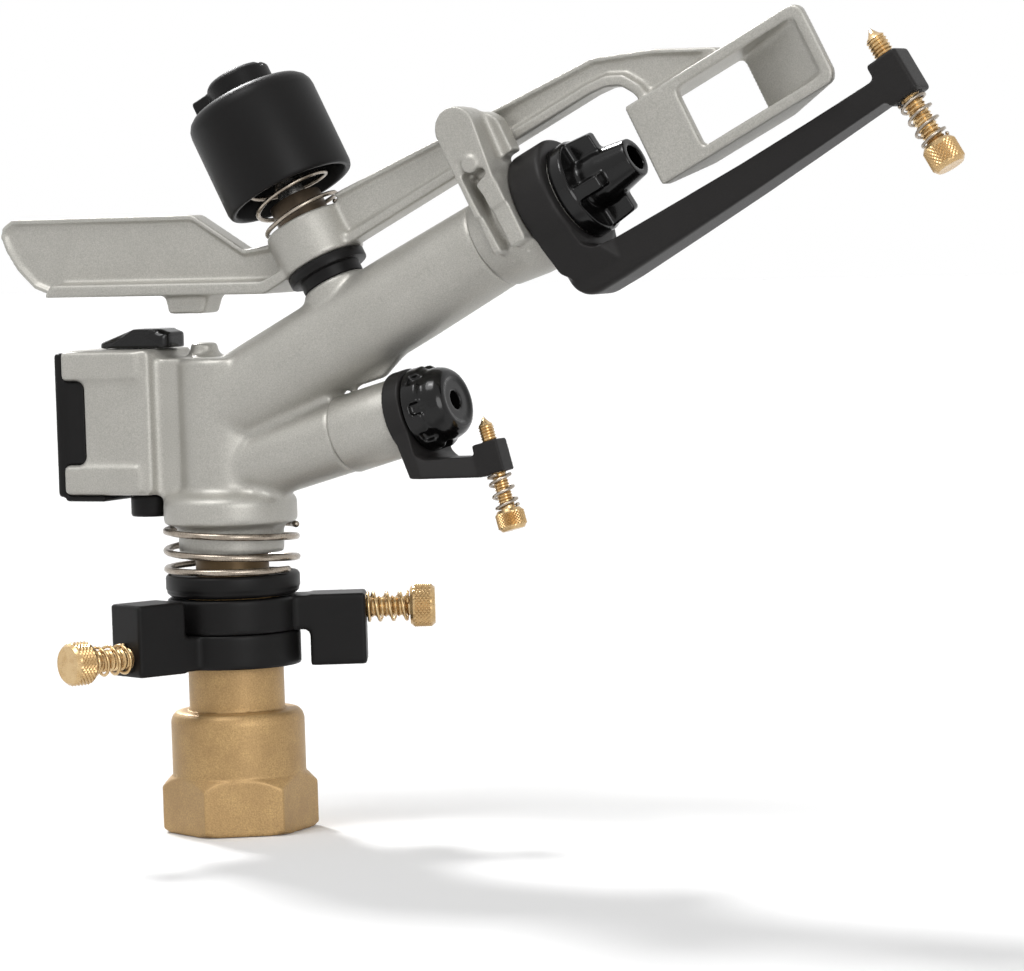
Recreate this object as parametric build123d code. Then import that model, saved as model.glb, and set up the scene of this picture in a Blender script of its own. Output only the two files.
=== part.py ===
from build123d import *
import os
from math import cos, radians, sin, sqrt

os.makedirs("parts", exist_ok=True)

# All sizes in millimetres, angles in degrees. +Z runs up the axis the head turns on,
# +X is the level direction of the main jet, and the origin is the centre of the inlet's mouth.

# Straight lengths that stand for one turn of a wide spring, and of a narrow one
coil_steps = 12
narrow_coil_steps = 9
narrow_coil_d = 12.0

# Fits shared by every moving piece
turning_fit = 0.06
thrust_gap = 0.12
free_gap = 0.4
spring_gap = 0.1

# Inlet coupling, with a one inch pipe thread left as a plain bore
hex_flats = 38.0
hex_height = 15.5
hex_turn = 34.5
hex_bevel = 2.0
shank_d = 37.5
shank_top = 34.0
shank_round = 3.0
neck_d = 26.8
neck_top = 66.2
inlet_d = 30.3
inlet_depth = 18.0
washer_room_d = 28.0
washer_room_top = 28.0

# Bearing tube and the washers it runs on
tube_d = 20.6
tube_wall = 2.1
tube_top = 99.0
tube_flange_d = 27.0
tube_flange_height = 2.6
washer_height = 1.2
washer_count = 2
seat_washer_d = 37.6
seat_washer_height = 6.2

# Body spring round the tube
body_spring_d = 38.4
body_spring_wire = 1.9
body_spring_turns = 2.7

# Arc stop collars on the neck, one above the other
collar_d = 37.0
collar_bottom = 46.4
collar_height = 9.6
collar_arm_height = 9.6
tab_inner_r = 21.4
tab_outer_r = 37.1
tab_width = 14.0
tab_bottom = 46.0
tab_top = 66.0
upper_tab_azimuth = 28.5
lower_tab_azimuth = 247.5
upper_screw_z = 61.4
lower_screw_z = 51.2

# Thumb screws
stop_screw_d = 6.2
stop_screw_head_d = 12.2
stop_screw_head_height = 7.0
stop_screw_spring_room = 12.4
stop_screw_inner_r = 24.5
screw_spring_clear = 0.45
screw_wire = 0.9
screw_spring_turns = 3.5

# Body casting
foot_spigot_d = 29.5
foot_spigot_bottom = 78.0
foot_bottom = 86.2
foot_top = 94.6
foot_d = 37.5
foot_edge = 1.2
column_d = 26.4
column_edge = 2.0
top_boss_d = 7.8
top_boss_height = 4.0
top_boss_x = -9.3
top_boss_y = 4.0
waterway_d = 18.0

# Main barrel
barrel_angle = 27.0
barrel_height = 118.3
column_over = 14.5
column_top = barrel_height + column_over
top_boss_top = column_top + top_boss_height
barrel_root_d = 26.2
barrel_end_d = 25.0
barrel_length = 98.0
spigot_length = 12.0
spigot_d = 21.0

# Side barrel
side_angle = 15.4
side_drop = 18.1
side_height = barrel_height - side_drop
side_d = 20.8
side_length = 40.5
side_bore_d = 13.0
side_spigot_d = 16.4
side_spigot_length = 8.0
web_clear = 1.0
web_foot_gap = 4.0
web_end_gap = 3.0
web_thickness = 3.0
vane_start = 34.0
vane_thick = 0.8
web_reach = 64.0

# Arm pivot, square to the main barrel
pivot_station = 48.0
boss_d = 19.0
boss_top = 14.3
pin_d = 8.0
pin_bottom = 9.9
pin_top = 76.5
bush_neck_d = 17.6
bush_flange_d = 22.6
bush_neck_height = 3.1
bush_flange_height = 2.9
bush_flange_bottom = boss_top + bush_neck_height
bush_top = bush_flange_bottom + bush_flange_height

# Drive arm
arm_web = 4.0
arm_rim_depth = 6.4
arm_rim = 1.3
hub_d = 24.0
hub_top = 33.2
arm_bush_d = 15.0
arm_bush_top = 40.5
shelf_depth = 18.0
shelf_height = 3.6
paddle_rise = 32.1
paddle_height = 22.3
paddle_bottom_z = barrel_height + paddle_rise
paddle_top_z = paddle_bottom_z + paddle_height
paddle_left_x = -72.3
paddle_shelf_x = -52.0
paddle_shoulder_x = -7.4
lip_depth = 8.6
lip_height = 3.0
lip_t = 20.6
hub_under_room = 2.0
hub_over_room = 3.0
paddle_tail_bulge = (5.0, 8.2)
paddle_tail_corner = (3.9, 5.0)
paddle_tail_reach = 2.6
paddle_front_edge = [(9.1, 12.3), (24.0, 14.3), (28.0, 7.1), (22.4, 2.2), (18.6, 0)]
shelf_front_edge = [(18.0, 3.6), (24.0, 6.2), (26.0, 4.0), (18.6, 0)]
arm_start_run = 8.0
arm_start_station = pivot_station + arm_start_run
# Top edge of the arm: run from the pivot and height, then run from the deflector's start and height
arm_near_edge = [(8, 35.6), (15, 35.1), (53, 32.1)]
arm_far_edge = [(-29.1, 30.4), (-4.6, 28.6), (12.4, 21.8), (28.4, 13.4), (29.4, 11)]
lip_curl_outer = (3.4, 17.6)
lip_curl_inner = (1.4, 20.2)
lip_fall = 0.4
strike_pad_drop = 5.2
strike_pad_bottom_z = paddle_bottom_z - strike_pad_drop
strike_pad_top = (-16.9, -1.9)
strike_pad_foot = (-15.5, -4.1)
strike_pad_depth = 9.0

# Arm return spring, its cap and the tension knob
arm_spring_d = 23.4
arm_spring_wire = 1.3
arm_spring_turns = 5.0
cap_d = 37.2
cap_bottom = 42.6
cap_top = 72.6
cap_wall = 2.2
cap_round = 3.2
spring_seat_t = 60.0
knob_washer_height = 0.9
knob_washer_d = 17.0
knob_d = 18.6
knob_height = 6.2
knob_edge = 1.2
knob_lug_reach = 14.4
knob_lug_height = 5.0
knob_lug_width = 9.0

# Barrel head with its anvil lug
head_flare_rise = 10.0
head_flare_run = 7.6
head_spigot_run = 11.0
head_start = barrel_length
head_flare = head_start + head_flare_rise
head_shoulder = head_flare + head_flare_run
head_d = 29.2
head_spigot_d = 25.6
head_end = head_shoulder + head_spigot_run
lug_front = 19.5
lug_back = 4.9
lug_length = 15.5
lug_past_shoulder = 4.9
lug_end = head_shoulder + lug_past_shoulder
lug_start = lug_end - lug_length
lug_lean_from = 13.0
lug_lean_to = 30.0
lug_lean = 5.0
lug_top = 35.5
groove_width = 7.0
groove_depth = 2.4
groove_top = 22.5
step_length = 3.9
step_reach = lug_end + step_length
step_top = 30.0
step_front = 12.0

# Main nozzle
nozzle_flange_d = 27.0
nozzle_flange_thick = 4.6
nozzle_root_d = 14.6
nozzle_tip_d = 11.0
nozzle_reach = 20.0
nozzle_tip_station = head_end + nozzle_reach
nozzle_bore_d = 7.0
nozzle_stem = 7.0
nozzle_fin_d = 25.6
nozzle_fin_reach = 12.4
nozzle_fin_end = head_end + nozzle_fin_reach
nozzle_fin_thick = 4.0
nozzle_fins = 6

# Deflector on the arm's end
jet_gap = 7.0
deflector_length = 57.4
deflector_start = nozzle_tip_station + jet_gap
deflector_end = deflector_start + deflector_length
arm_bend_lead = 4.6
arm_bend_station = deflector_start - arm_bend_lead
deflector_top = 11.0
deflector_bottom = -12.3
deflector_front = 9.0
deflector_back = 3.4
rail_height = 3.1
end_wall = 3.0
entry_vane_length = 15.4
entry_vane_end = deflector_start + entry_vane_length
entry_vane_lead = 1.6
deflector_low_corner = 1.0
vane_inset = 1.0
entry_vane_thick = 3.2
drive_vane_lead = 30.9
drive_vane_start = deflector_start + drive_vane_lead
drive_vane_thick = 2.4
deflector_corner = 3.2

# Main jet breaker: a ring and a round-bottomed lever that narrows to a tilted block
breaker_ring_d = 33.4
breaker_ring_gap = 0.6
breaker_ring_end = head_end - breaker_ring_gap
breaker_lever_depth = 14.0
breaker_cheek_depth = 26.8
breaker_cheek_top_t = -10.0
breaker_cheek_bottom_t = -23.4
breaker_cheek_run = 7.0
breaker_cheek_end = breaker_ring_end + breaker_cheek_run
breaker_tip_depth = 9.4
breaker_elbow_t = -27.8
breaker_elbow_round = 7.0
breaker_elbow_run = 5.0
breaker_elbow_end = breaker_ring_end + breaker_elbow_run
breaker_corner = 2.2
breaker_heel = 3.4
breaker_under_round = 4.4
lever_top_t = -17.2
lever_middle_top_t = -17.7
lever_middle_bottom_t = -25.1
lever_tip_bottom_t = -23.2
lever_tip_top_t = -16.6
lever_reach = 95.6
block_station = breaker_ring_end + lever_reach
block_width = 9.4
block_top_t = -12.2
block_bottom_t = -25.0
block_tilt = 4.2
block_round = 1.0
breaker_screw_d = 5.6
breaker_screw_tip_t = -3.4
breaker_screw_length = 42.6
breaker_screw_head_d = 9.6
breaker_screw_head_height = 7.4

# Side nozzle, its holder and its jet breaker
holder_start = side_length
holder_d = 21.8
holder_spigot_d = 19.4
holder_length = 24.9
holder_end = holder_start + holder_length
side_ring_d = 24.4
side_ring_inset = 5.8
side_ring_length = 5.4
side_ring_start = holder_end - side_ring_inset
side_ring_end = side_ring_start + side_ring_length
side_nozzle_d = 23.4
side_nozzle_skirt = 5.2
side_nozzle_length = 11.4
side_nozzle_skirt_end = holder_end + side_nozzle_skirt
side_nozzle_face = holder_end + side_nozzle_length
side_nozzle_hole_d = 5.2
side_nozzle_stem = 7.0
side_nozzle_notches = 8
side_nozzle_notch_width = 3.4
side_nozzle_notch_depth = 1.6
side_elbow_t = -17.9
side_arm_top_t = -14.0
side_arm_end_t = -22.6
side_arm_drop = 2.6
side_elbow_lean = 2.2
side_block_reach = 13.6
side_block_length = 7.8
side_block_start = side_ring_end + side_block_reach
side_block_end = side_block_start + side_block_length
side_block_top_t = -13.6
side_block_depth = 6.4
side_cheek_depth = 22.0
side_screw_reach = 4.3
side_screw_station = side_block_start + side_screw_reach
side_screw_d = 4.4
side_screw_tip_t = -6.6
side_screw_head_t = -38.6
side_screw_head_d = 8.2
side_screw_head_height = 5.8

# Reversing mechanism and its housing, left of the column
housing_left = -46.8
housing_right = -18.0
housing_over = 2.6
housing_bottom = foot_top
housing_top = column_top + housing_over
housing_depth = 24.0
housing_wall = 3.2
housing_round = 1.2
neck_depth = 17.0
pad_thick = 1.2
pad_height = 7.8
pad_right = -21.6
window_right = -40.2
window_height = 23.8
cover_thick = 3.0
cover_overhang = 0.6
cover_lip_right = -34.0
spindle_x = -25.6
spindle_d = 5.0
crank_drop = 21.4
crank_z = housing_top - crank_drop
crank_reach = 7.0
crank_height = 5.0
toggle_spring_d = 6.4
toggle_spring_wire = 0.8
toggle_spring_turns = 4.0
cam_left = -38.8
cam_right = -15.8
cam_depth = 12.0
cam_low = 1.6
cam_high = 5.4
trip_hub_d = 12.6
trip_height = 6.2
trip_finger_azimuth = 125.0
trip_finger_r = 27.4
trip_finger_bottom = 49.0
trip_finger_width = 6.0
trip_finger_thick = 4.0

# Directions worked out from the angles above
barrel_along = Vector(cos(radians(barrel_angle)), 0, sin(radians(barrel_angle)))
barrel_up = Vector(-sin(radians(barrel_angle)), 0, cos(radians(barrel_angle)))
side_along = Vector(cos(radians(side_angle)), 0, sin(radians(side_angle)))
side_up = Vector(-sin(radians(side_angle)), 0, cos(radians(side_angle)))
barrel_root = Vector(0, 0, barrel_height)
side_root = Vector(0, 0, side_height)

# Working planes: local Z runs along a barrel and local X is square to it, upwards
barrel_axis = Plane(origin=barrel_root, x_dir=barrel_up, z_dir=barrel_along)
side_axis = Plane(origin=side_root, x_dir=side_up, z_dir=side_along)

# Side views: local X runs along a barrel, local Y square to it, and -Y of the row is out
barrel_view = Plane(origin=barrel_root, x_dir=barrel_along, z_dir=(0, -1, 0))
side_view = Plane(origin=side_root, x_dir=side_along, z_dir=(0, -1, 0))
upright_view = Plane.XZ

# The pivot's plane: local Z is the axis that the arm swings on
pivot_axis = Plane(
    origin=barrel_root + barrel_along * pivot_station, x_dir=barrel_along, z_dir=barrel_up
)
spindle_axis = Plane(origin=(spindle_x, 0, 0))

# Axes of the two breaker screws: local Z runs up to the jet, from the height of the barrel's axis
breaker_screw_axis = Plane(
    origin=barrel_root + barrel_along * block_station, x_dir=barrel_along, z_dir=barrel_up
).rotated((0, -block_tilt, 0))
side_screw_axis = Plane(
    origin=side_root + side_along * side_screw_station, x_dir=side_along, z_dir=side_up
)


def turned(outline, place=Plane.XY):
    """A closed outline of (radius, height) points, turned once round the local Z axis."""
    face = make_face(upright_view * Polyline(*outline, close=True))
    return place * revolve(face, Axis.Z)


def rod(diameter, low, high, place=Plane.XY):
    """A plain cylinder on the local Z axis."""
    align = (Align.CENTER, Align.CENTER, Align.MIN)
    return place * (Pos(0, 0, low) * Cylinder(diameter / 2, high - low, align=align))


def ring(outer, inner, low, high, place=Plane.XY):
    """A cylinder with a hole through it."""
    return rod(outer, low, high, place) - rod(inner, low - 1, high + 1, place)


def block(x, y, z, place=Plane.XY):
    """A box between the pairs of numbers x, y and z."""
    size = [b - a for a, b in (x, y, z)]
    middle = [(a + b) / 2 for a, b in (x, y, z)]
    return place * (Pos(*middle) * Box(*size))


def slab(outline, depth, view):
    """A closed outline in a side view, given the same depth on both sides of it."""
    return extrude(view * make_face(Polyline(*outline, close=True)), depth / 2, both=True)


def coil(outer, wire, low, high, turns, place=Plane.XY):
    """A coil spring of square wire, in short straight lengths, along the local Z axis."""
    radius = (outer - wire) / 2
    rise = high - low - wire
    steps = narrow_coil_steps if outer < narrow_coil_d else coil_steps
    lengths = round(turns * steps)
    sections = []
    for i in range(lengths + 1):
        turn = Rot(0, 0, 360 * turns * i / lengths)
        section = upright_view * Rectangle(wire, wire)
        sections.append(turn * Pos(radius, 0, low + wire / 2 + rise * i / lengths) * section)
    return place * loft(sections, ruled=True)


def upright(point):
    """A point of the row's middle plane, as the upright side view's own pair."""
    return (point.X, point.Z)


def keep(node, shape):
    """Write one sub-part as STEP, named after its node."""
    export_step(shape, os.path.join("parts", node + ".step"))
    print(node, round(shape.volume, 1))


def inlet_coupling():
    """Hexagon, round shank and the neck that the collars ride on, with the thread's bore."""
    corner_r = hex_flats / sqrt(3)
    flat_r = hex_flats / 2
    hexagon = extrude(RegularPolygon(flat_r, 6, major_radius=False, rotation=hex_turn), hex_height)
    bevelled = turned([
        (0, 0), (flat_r, 0), (corner_r, hex_bevel),
        (corner_r, hex_height - hex_bevel), (flat_r, hex_height), (0, hex_height),
    ])
    shank = rod(shank_d, hex_height - 1, shank_top)
    shank = chamfer(shank.edges().group_by(Axis.Z)[-1], shank_round, shank_round / 2)
    body = (hexagon & bevelled) + shank + rod(neck_d, shank_top - 1, neck_top)
    body -= rod(inlet_d, -1, inlet_depth)
    body -= rod(washer_room_d, inlet_depth - 1, washer_room_top)
    return body - rod(tube_d + 2 * turning_fit, washer_room_top - 1, neck_top + 1)


def thrust_washer(number):
    """One of the washers stacked between the tube's flange and the coupling's shoulder."""
    top = washer_room_top - number * washer_height
    return ring(tube_flange_d - 0.6, tube_d + 0.4, top - washer_height, top)


def spring_seat_washer():
    """Deep washer under the body spring, with a skirt round its rim."""
    top = neck_top + seat_washer_height
    inner = tube_d / 2 + free_gap
    outer = seat_washer_d / 2
    return turned([
        (inner, neck_top), (outer - 1.2, neck_top), (outer, neck_top + 1.2), (outer, top), (inner, top),
    ])


def bearing_tube():
    """The brass tube that the head turns on, with the flange that the washers hold down."""
    flange_top = washer_room_top - washer_count * washer_height - thrust_gap
    flange_bottom = flange_top - tube_flange_height
    inner = tube_d / 2 - tube_wall
    return turned([
        (inner, flange_bottom), (tube_flange_d / 2, flange_bottom), (tube_flange_d / 2, flange_top),
        (tube_d / 2, flange_top), (tube_d / 2, tube_top), (inner, tube_top),
    ])


def body_spring():
    """Spring that lifts the head and presses the tube's flange on the washers."""
    low = neck_top + seat_washer_height + spring_gap
    return coil(body_spring_d, body_spring_wire, low, foot_bottom - spring_gap, body_spring_turns)


def stop_collar(low, azimuth):
    """A ring on the neck with an arm that carries one of the two stop tabs."""
    place = Plane.XY.rotated((0, 0, azimuth))
    half = tab_width / 2
    collar = rod(collar_d, low, low + collar_height)
    collar += block((0, tab_outer_r), (-half, half), (low, low + collar_arm_height), place)
    collar += block((tab_inner_r, tab_outer_r), (-half, half), (tab_bottom, tab_top), place)
    return collar - rod(neck_d + 2 * turning_fit, tab_bottom - 5, tab_top + 5)


def lower_collar_z():
    return collar_bottom


def upper_collar_z():
    return collar_bottom + collar_height + thrust_gap


def radial_place(azimuth, z):
    """Local Z runs out from the column at an azimuth and a height."""
    out = Vector(cos(radians(azimuth)), sin(radians(azimuth)), 0)
    return Plane(origin=(0, 0, z), x_dir=(0, 0, 1), z_dir=out)


def with_screw_hole(collar, azimuth, z):
    """Drill the tab for its thumb screw."""
    place = radial_place(azimuth, z)
    hole = rod(stop_screw_d + 2 * turning_fit, stop_screw_inner_r - 1, tab_outer_r + 1, place)
    return collar - hole


def thumb_screw(shank, head, head_height, tip, head_start, place):
    """A screw with a pointed tip and a straight knurled head, left plain here."""
    r = shank / 2
    head_end = head_start + head_height
    return turned([
        (0, tip), (r, tip + r), (r, head_start), (head / 2, head_start), (head / 2, head_end),
        (0, head_end),
    ], place)


def stop_screw(azimuth, z):
    start = tab_outer_r + stop_screw_spring_room
    place = radial_place(azimuth, z)
    return thumb_screw(
        stop_screw_d, stop_screw_head_d, stop_screw_head_height, stop_screw_inner_r, start, place
    )


def stop_screw_spring(azimuth, z):
    outer = stop_screw_d + 2 * (screw_wire + screw_spring_clear)
    low = tab_outer_r + spring_gap
    high = tab_outer_r + stop_screw_spring_room - spring_gap
    return coil(outer, screw_wire, low, high, screw_spring_turns, radial_place(azimuth, z))


def housing_box():
    """The cast box of the reversing mechanism, open on its left, with its pads and window."""
    half = housing_depth / 2
    box = block((housing_left, housing_right), (-half, half), (housing_bottom, housing_top))
    box = fillet(box.edges().filter_by(Axis.Y).group_by(Axis.X)[-1], housing_round)
    pads = []
    for low in (housing_bottom + 0.4, housing_top - pad_height - 0.4):
        pad = block(
            (housing_left, pad_right), (-half - pad_thick, half + pad_thick), (low, low + pad_height)
        )
        pads.append(pad)
    box = box + pads
    neck_half = neck_depth / 2
    box += block((housing_right - 1, -5), (-neck_half, neck_half), (housing_bottom, column_top))
    inner = half - housing_wall
    box -= block(
        (housing_left - 1, housing_right - housing_wall), (-inner, inner),
        (housing_bottom + housing_wall, housing_top - housing_wall),
    )
    middle = (housing_bottom + housing_top) / 2
    box -= block(
        (housing_left - 1, window_right), (-half - 2 * pad_thick, 0),
        (middle - window_height / 2, middle + window_height / 2),
    )
    return box - rod(spindle_d + 2 * turning_fit, housing_bottom - 1, housing_top + 1, spindle_axis)


def body_casting():
    """Column, foot, both barrels, the web between them, the pivot boss and the housing."""
    foot = rod(foot_d, foot_bottom, foot_top)
    foot = chamfer(foot.edges().group_by(Axis.Z)[-1], foot_edge)
    column = rod(column_d, foot_top - 1, column_top)
    column = chamfer(column.edges().group_by(Axis.Z)[-1], column_edge)
    barrel = turned([
        (0, 0), (barrel_root_d / 2, 0), (barrel_root_d / 2, web_reach + 3), (barrel_end_d / 2, barrel_length),
        (spigot_d / 2, barrel_length), (spigot_d / 2, barrel_length + spigot_length),
        (0, barrel_length + spigot_length),
    ], barrel_axis)
    side = turned([
        (0, 0), (side_d / 2, 0), (side_d / 2, side_length), (side_spigot_d / 2, side_length),
        (side_spigot_d / 2, side_length + side_spigot_length), (0, side_length + side_spigot_length),
    ], side_axis)
    web_foot = side_root + side_along * (side_length - web_foot_gap)
    web_nose = side_root + side_along * (side_ring_start - web_end_gap)
    web = slab([
        upright(side_root + side_along * column_d * 0.6),
        upright(web_foot),
        upright(web_foot + side_up * (holder_d / 2 + web_clear)),
        upright(web_nose + side_up * (holder_d / 2 + web_clear)),
        upright(barrel_root + barrel_along * web_reach - barrel_up * barrel_end_d * 0.45),
        upright(barrel_root + barrel_along * column_d * 0.6),
    ], web_thickness, upright_view)
    boss = rod(boss_d, 0, boss_top, pivot_axis)
    top_boss = rod(top_boss_d, column_top - 4, top_boss_top, Plane(origin=(top_boss_x, top_boss_y, 0)))
    body = foot + rod(foot_spigot_d, foot_spigot_bottom, foot_bottom + 1)
    body = body + [column, barrel, side, web, boss, top_boss, housing_box()]
    body -= rod(tube_d, foot_spigot_bottom - 1, tube_top)
    body -= rod(waterway_d, tube_top - 1, barrel_height)
    body -= rod(waterway_d, 0, barrel_length + spigot_length + 1, barrel_axis)
    body -= rod(side_bore_d, 0, side_length + side_spigot_length + 1, side_axis)
    return body - rod(pin_d, pin_bottom, boss_top + 1, pivot_axis)


def stream_straightener():
    """Crossed vanes that calm the water in the barrel ahead of the main nozzle."""
    half = waterway_d / 2
    thin = vane_thick / 2
    reach = (vane_start, barrel_length)
    level = block((-thin, thin), (-half + vane_thick, half - vane_thick), reach, barrel_axis)
    return level + block((-half + vane_thick, half - vane_thick), (-thin, thin), reach, barrel_axis)


def barrel_head():
    """The cast head on the barrel's end, with the grooved lug that the arm strikes."""
    head = turned([
        (spigot_d / 2, head_start), (barrel_end_d / 2 + 0.5, head_start), (head_d / 2, head_flare),
        (head_d / 2, head_shoulder), (head_spigot_d / 2, head_shoulder),
        (head_spigot_d / 2, head_end), (waterway_d / 2, head_end),
        (waterway_d / 2, head_start + spigot_length), (spigot_d / 2, head_start + spigot_length),
    ], barrel_axis)
    dome_r = (lug_front - lug_back) / 2
    middle = (lug_front + lug_back) / 2
    outline = Polyline(
        (-2, head_d / 2 - 4), (-2, head_d / 2), (6, lug_front), (lug_top - dome_r, lug_front)
    ) + ThreePointArc(
        (lug_top - dome_r, lug_front), (lug_top, middle), (lug_top - dome_r, lug_back)
    ) + Polyline((lug_top - dome_r, lug_back), (8, lug_back), (-2, head_d / 2 - 4))
    lug = extrude(make_face(outline), lug_end - lug_start)
    centre = (lug_lean + lug_end - lug_start) / 2
    groove = block(
        (-5, groove_top), (lug_front - groove_depth, lug_front + 5),
        (centre - groove_width / 2, centre + groove_width / 2),
    )
    lean = extrude(Plane.XZ.offset(-lug_front - 1) * make_face(Polyline(
        (lug_lean_from, -1), (lug_lean_from, 0), (lug_lean_to, lug_lean), (lug_top + 1, lug_lean),
        (lug_top + 1, -1), close=True,
    )), lug_front + 2)
    lug = Pos(0, 0, lug_start) * (lug - groove - lean)
    step = block((6, step_top), (lug_back, step_front), (lug_end - 1, step_reach))
    step = fillet(step.edges().filter_by(Axis.Z).group_by(Axis.X)[-1], 3.0)
    core = rod(spigot_d, head_start - 1, head_start + spigot_length, barrel_axis)
    core += rod(waterway_d, head_start, head_end + 1, barrel_axis)
    collar_room = ring(breaker_ring_d + 8, head_spigot_d, head_shoulder, step_reach + 2)
    low_room = block((-40, head_spigot_d / 2 + 4), (-40, 40), (head_shoulder, step_reach + 2))
    return head + barrel_axis * ((lug + step) - (collar_room & low_room)) - core


def main_nozzle():
    """Finned nozzle with a tapered bore, screwed into the head."""
    flange_end = head_end + nozzle_flange_thick
    body = turned([
        (0, head_end), (nozzle_flange_d / 2, head_end), (nozzle_flange_d / 2, flange_end),
        (nozzle_root_d / 2, flange_end), (nozzle_root_d / 2, nozzle_fin_end),
        (nozzle_tip_d / 2, nozzle_tip_station), (0, nozzle_tip_station),
    ])
    taper = (nozzle_fin_d - nozzle_root_d) / 2 * 0.18
    fin = extrude(
        upright_view * make_face(Polyline(
            (nozzle_tip_d / 2, flange_end - 0.5), (nozzle_fin_d / 2, flange_end - 0.5),
            (nozzle_fin_d / 2 - taper, nozzle_fin_end), (nozzle_tip_d / 2, nozzle_fin_end), close=True,
        )), nozzle_fin_thick / 2, both=True,
    )
    for i in range(nozzle_fins):
        body += Rot(0, 0, 360 / nozzle_fins * i) * fin
    stem = rod(waterway_d, head_end - nozzle_stem, head_end + 0.5)
    bore = turned([
        (0, head_end - nozzle_stem), (waterway_d / 2 - 1.8, head_end - nozzle_stem),
        (nozzle_bore_d / 2, nozzle_tip_station), (0, nozzle_tip_station),
    ])
    return barrel_axis * (body + stem - bore)


def breaker_lever():
    """The lever alone: a side view of even depth that narrows to the block, round below."""
    inner_end = breaker_ring_end + breaker_corner
    middle = (breaker_ring_end + block_station) / 2
    elbow_start = head_shoulder + breaker_elbow_round
    elbow_top_t = breaker_elbow_t + breaker_elbow_round
    top = ThreePointArc(
        (inner_end, lever_top_t), (middle, lever_middle_top_t), (block_station, lever_tip_top_t)
    )
    end = Line((block_station, lever_tip_top_t), (block_station, lever_tip_bottom_t))
    bottom = ThreePointArc(
        (block_station, lever_tip_bottom_t), (middle, lever_middle_bottom_t),
        (breaker_elbow_end, breaker_elbow_t),
    )
    heel = Line((breaker_elbow_end, breaker_elbow_t), (elbow_start, breaker_elbow_t))
    elbow = TangentArc((elbow_start, breaker_elbow_t), (head_shoulder, elbow_top_t), tangent=(-1, 0))
    back = Polyline(
        (head_shoulder, elbow_top_t), (head_shoulder, 0), (breaker_ring_end, 0),
        (breaker_ring_end, lever_top_t + breaker_corner), (inner_end, lever_top_t),
    )
    face = make_face(top + end + bottom + heel + elbow + back)
    lever = extrude(barrel_view * face, breaker_ring_d / 2, both=True)
    lever &= barrel_plan([
        (head_shoulder - 1, breaker_lever_depth), (breaker_ring_end, breaker_lever_depth),
        (block_station + 1, breaker_tip_depth),
    ])
    return fillet([edge for edge in lever.edges() if runs_low(edge)], breaker_under_round)


def runs_low(edge):
    """Whether an edge of the lever is one of the two long lower ones, elbow included."""
    centre = edge.center() - barrel_root
    height = centre.dot(barrel_up)
    level = abs((edge @ 0).Y - (edge @ 1).Y) < breaker_tip_depth
    return level and height < (lever_tip_bottom_t + lever_tip_top_t) / 2 and abs(centre.Y) > 1


def barrel_plan(widths):
    """Space round the main barrel whose full width is given at each station."""
    near = [(-width / 2, station) for station, width in widths]
    far = [(width / 2, station) for station, width in reversed(widths)]
    deep = Plane.YZ.offset(breaker_elbow_t * 2)
    return barrel_axis * extrude(deep * make_face(Polyline(*near, *far, close=True)), -breaker_elbow_t * 3)


def breaker_cheeks():
    """The ring's two cheeks, which close in downwards and forwards onto the lever."""
    wide = breaker_cheek_depth / 2
    narrow = breaker_lever_depth / 2
    section = make_face(Polyline(
        (breaker_cheek_top_t, -wide), (breaker_cheek_bottom_t, -narrow),
        (breaker_cheek_bottom_t, narrow), (breaker_cheek_top_t, wide), close=True,
    ))
    long = breaker_cheek_end - head_shoulder
    cheeks = barrel_axis * (Pos(0, 0, head_shoulder) * extrude(section, long))
    side = slab([
        (head_shoulder, breaker_cheek_top_t), (breaker_ring_end, breaker_cheek_top_t),
        (breaker_ring_end, lever_top_t + breaker_corner), (breaker_ring_end + breaker_corner, lever_top_t),
        (breaker_cheek_end, lever_top_t), (breaker_cheek_end, breaker_cheek_bottom_t),
        (head_shoulder + breaker_heel, breaker_cheek_bottom_t),
        (head_shoulder, breaker_cheek_bottom_t + breaker_heel * 1.4),
    ], breaker_ring_d, barrel_view)
    return cheeks & side & barrel_plan([
        (head_shoulder - 1, breaker_cheek_depth), (breaker_ring_end, breaker_cheek_depth),
        (breaker_cheek_end, breaker_lever_depth - 0.4),
    ])


def main_breaker_bracket():
    """Ring on the head's spigot with the long lever that holds the jet breaker screw."""
    collar = rod(breaker_ring_d, head_shoulder, breaker_ring_end, barrel_axis)
    half = block_width / 2
    depth = breaker_tip_depth / 2
    tip = block((-half, half), (-depth, depth), (block_bottom_t, block_top_t), breaker_screw_axis)
    tip = fillet(tip.edges().filter_by(Axis.Y), block_round)
    body = collar + [breaker_lever(), breaker_cheeks(), tip]
    body -= rod(head_spigot_d, head_shoulder - 1, breaker_ring_end + 1, barrel_axis)
    hole = breaker_screw_d + 2 * turning_fit
    return body - rod(hole, block_bottom_t - 5, block_top_t + 5, breaker_screw_axis)


def flipped(place):
    """The same axis, looking the other way."""
    return Plane(origin=place.origin, x_dir=place.x_dir, z_dir=-place.z_dir)


def main_breaker_screw():
    head_start = breaker_screw_length - breaker_screw_head_height - breaker_screw_tip_t
    return thumb_screw(
        breaker_screw_d, breaker_screw_head_d, breaker_screw_head_height,
        -breaker_screw_tip_t, head_start, flipped(breaker_screw_axis),
    )


def main_breaker_spring():
    outer = breaker_screw_d + 2 * (screw_wire + screw_spring_clear)
    low = breaker_screw_tip_t - breaker_screw_length + breaker_screw_head_height + spring_gap
    return coil(
        outer, screw_wire, low, block_bottom_t - spring_gap, screw_spring_turns, breaker_screw_axis
    )


def side_breaker_screw():
    head_start = -side_screw_head_t - side_screw_head_height
    return thumb_screw(
        side_screw_d, side_screw_head_d, side_screw_head_height,
        -side_screw_tip_t, head_start, flipped(side_screw_axis),
    )


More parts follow.
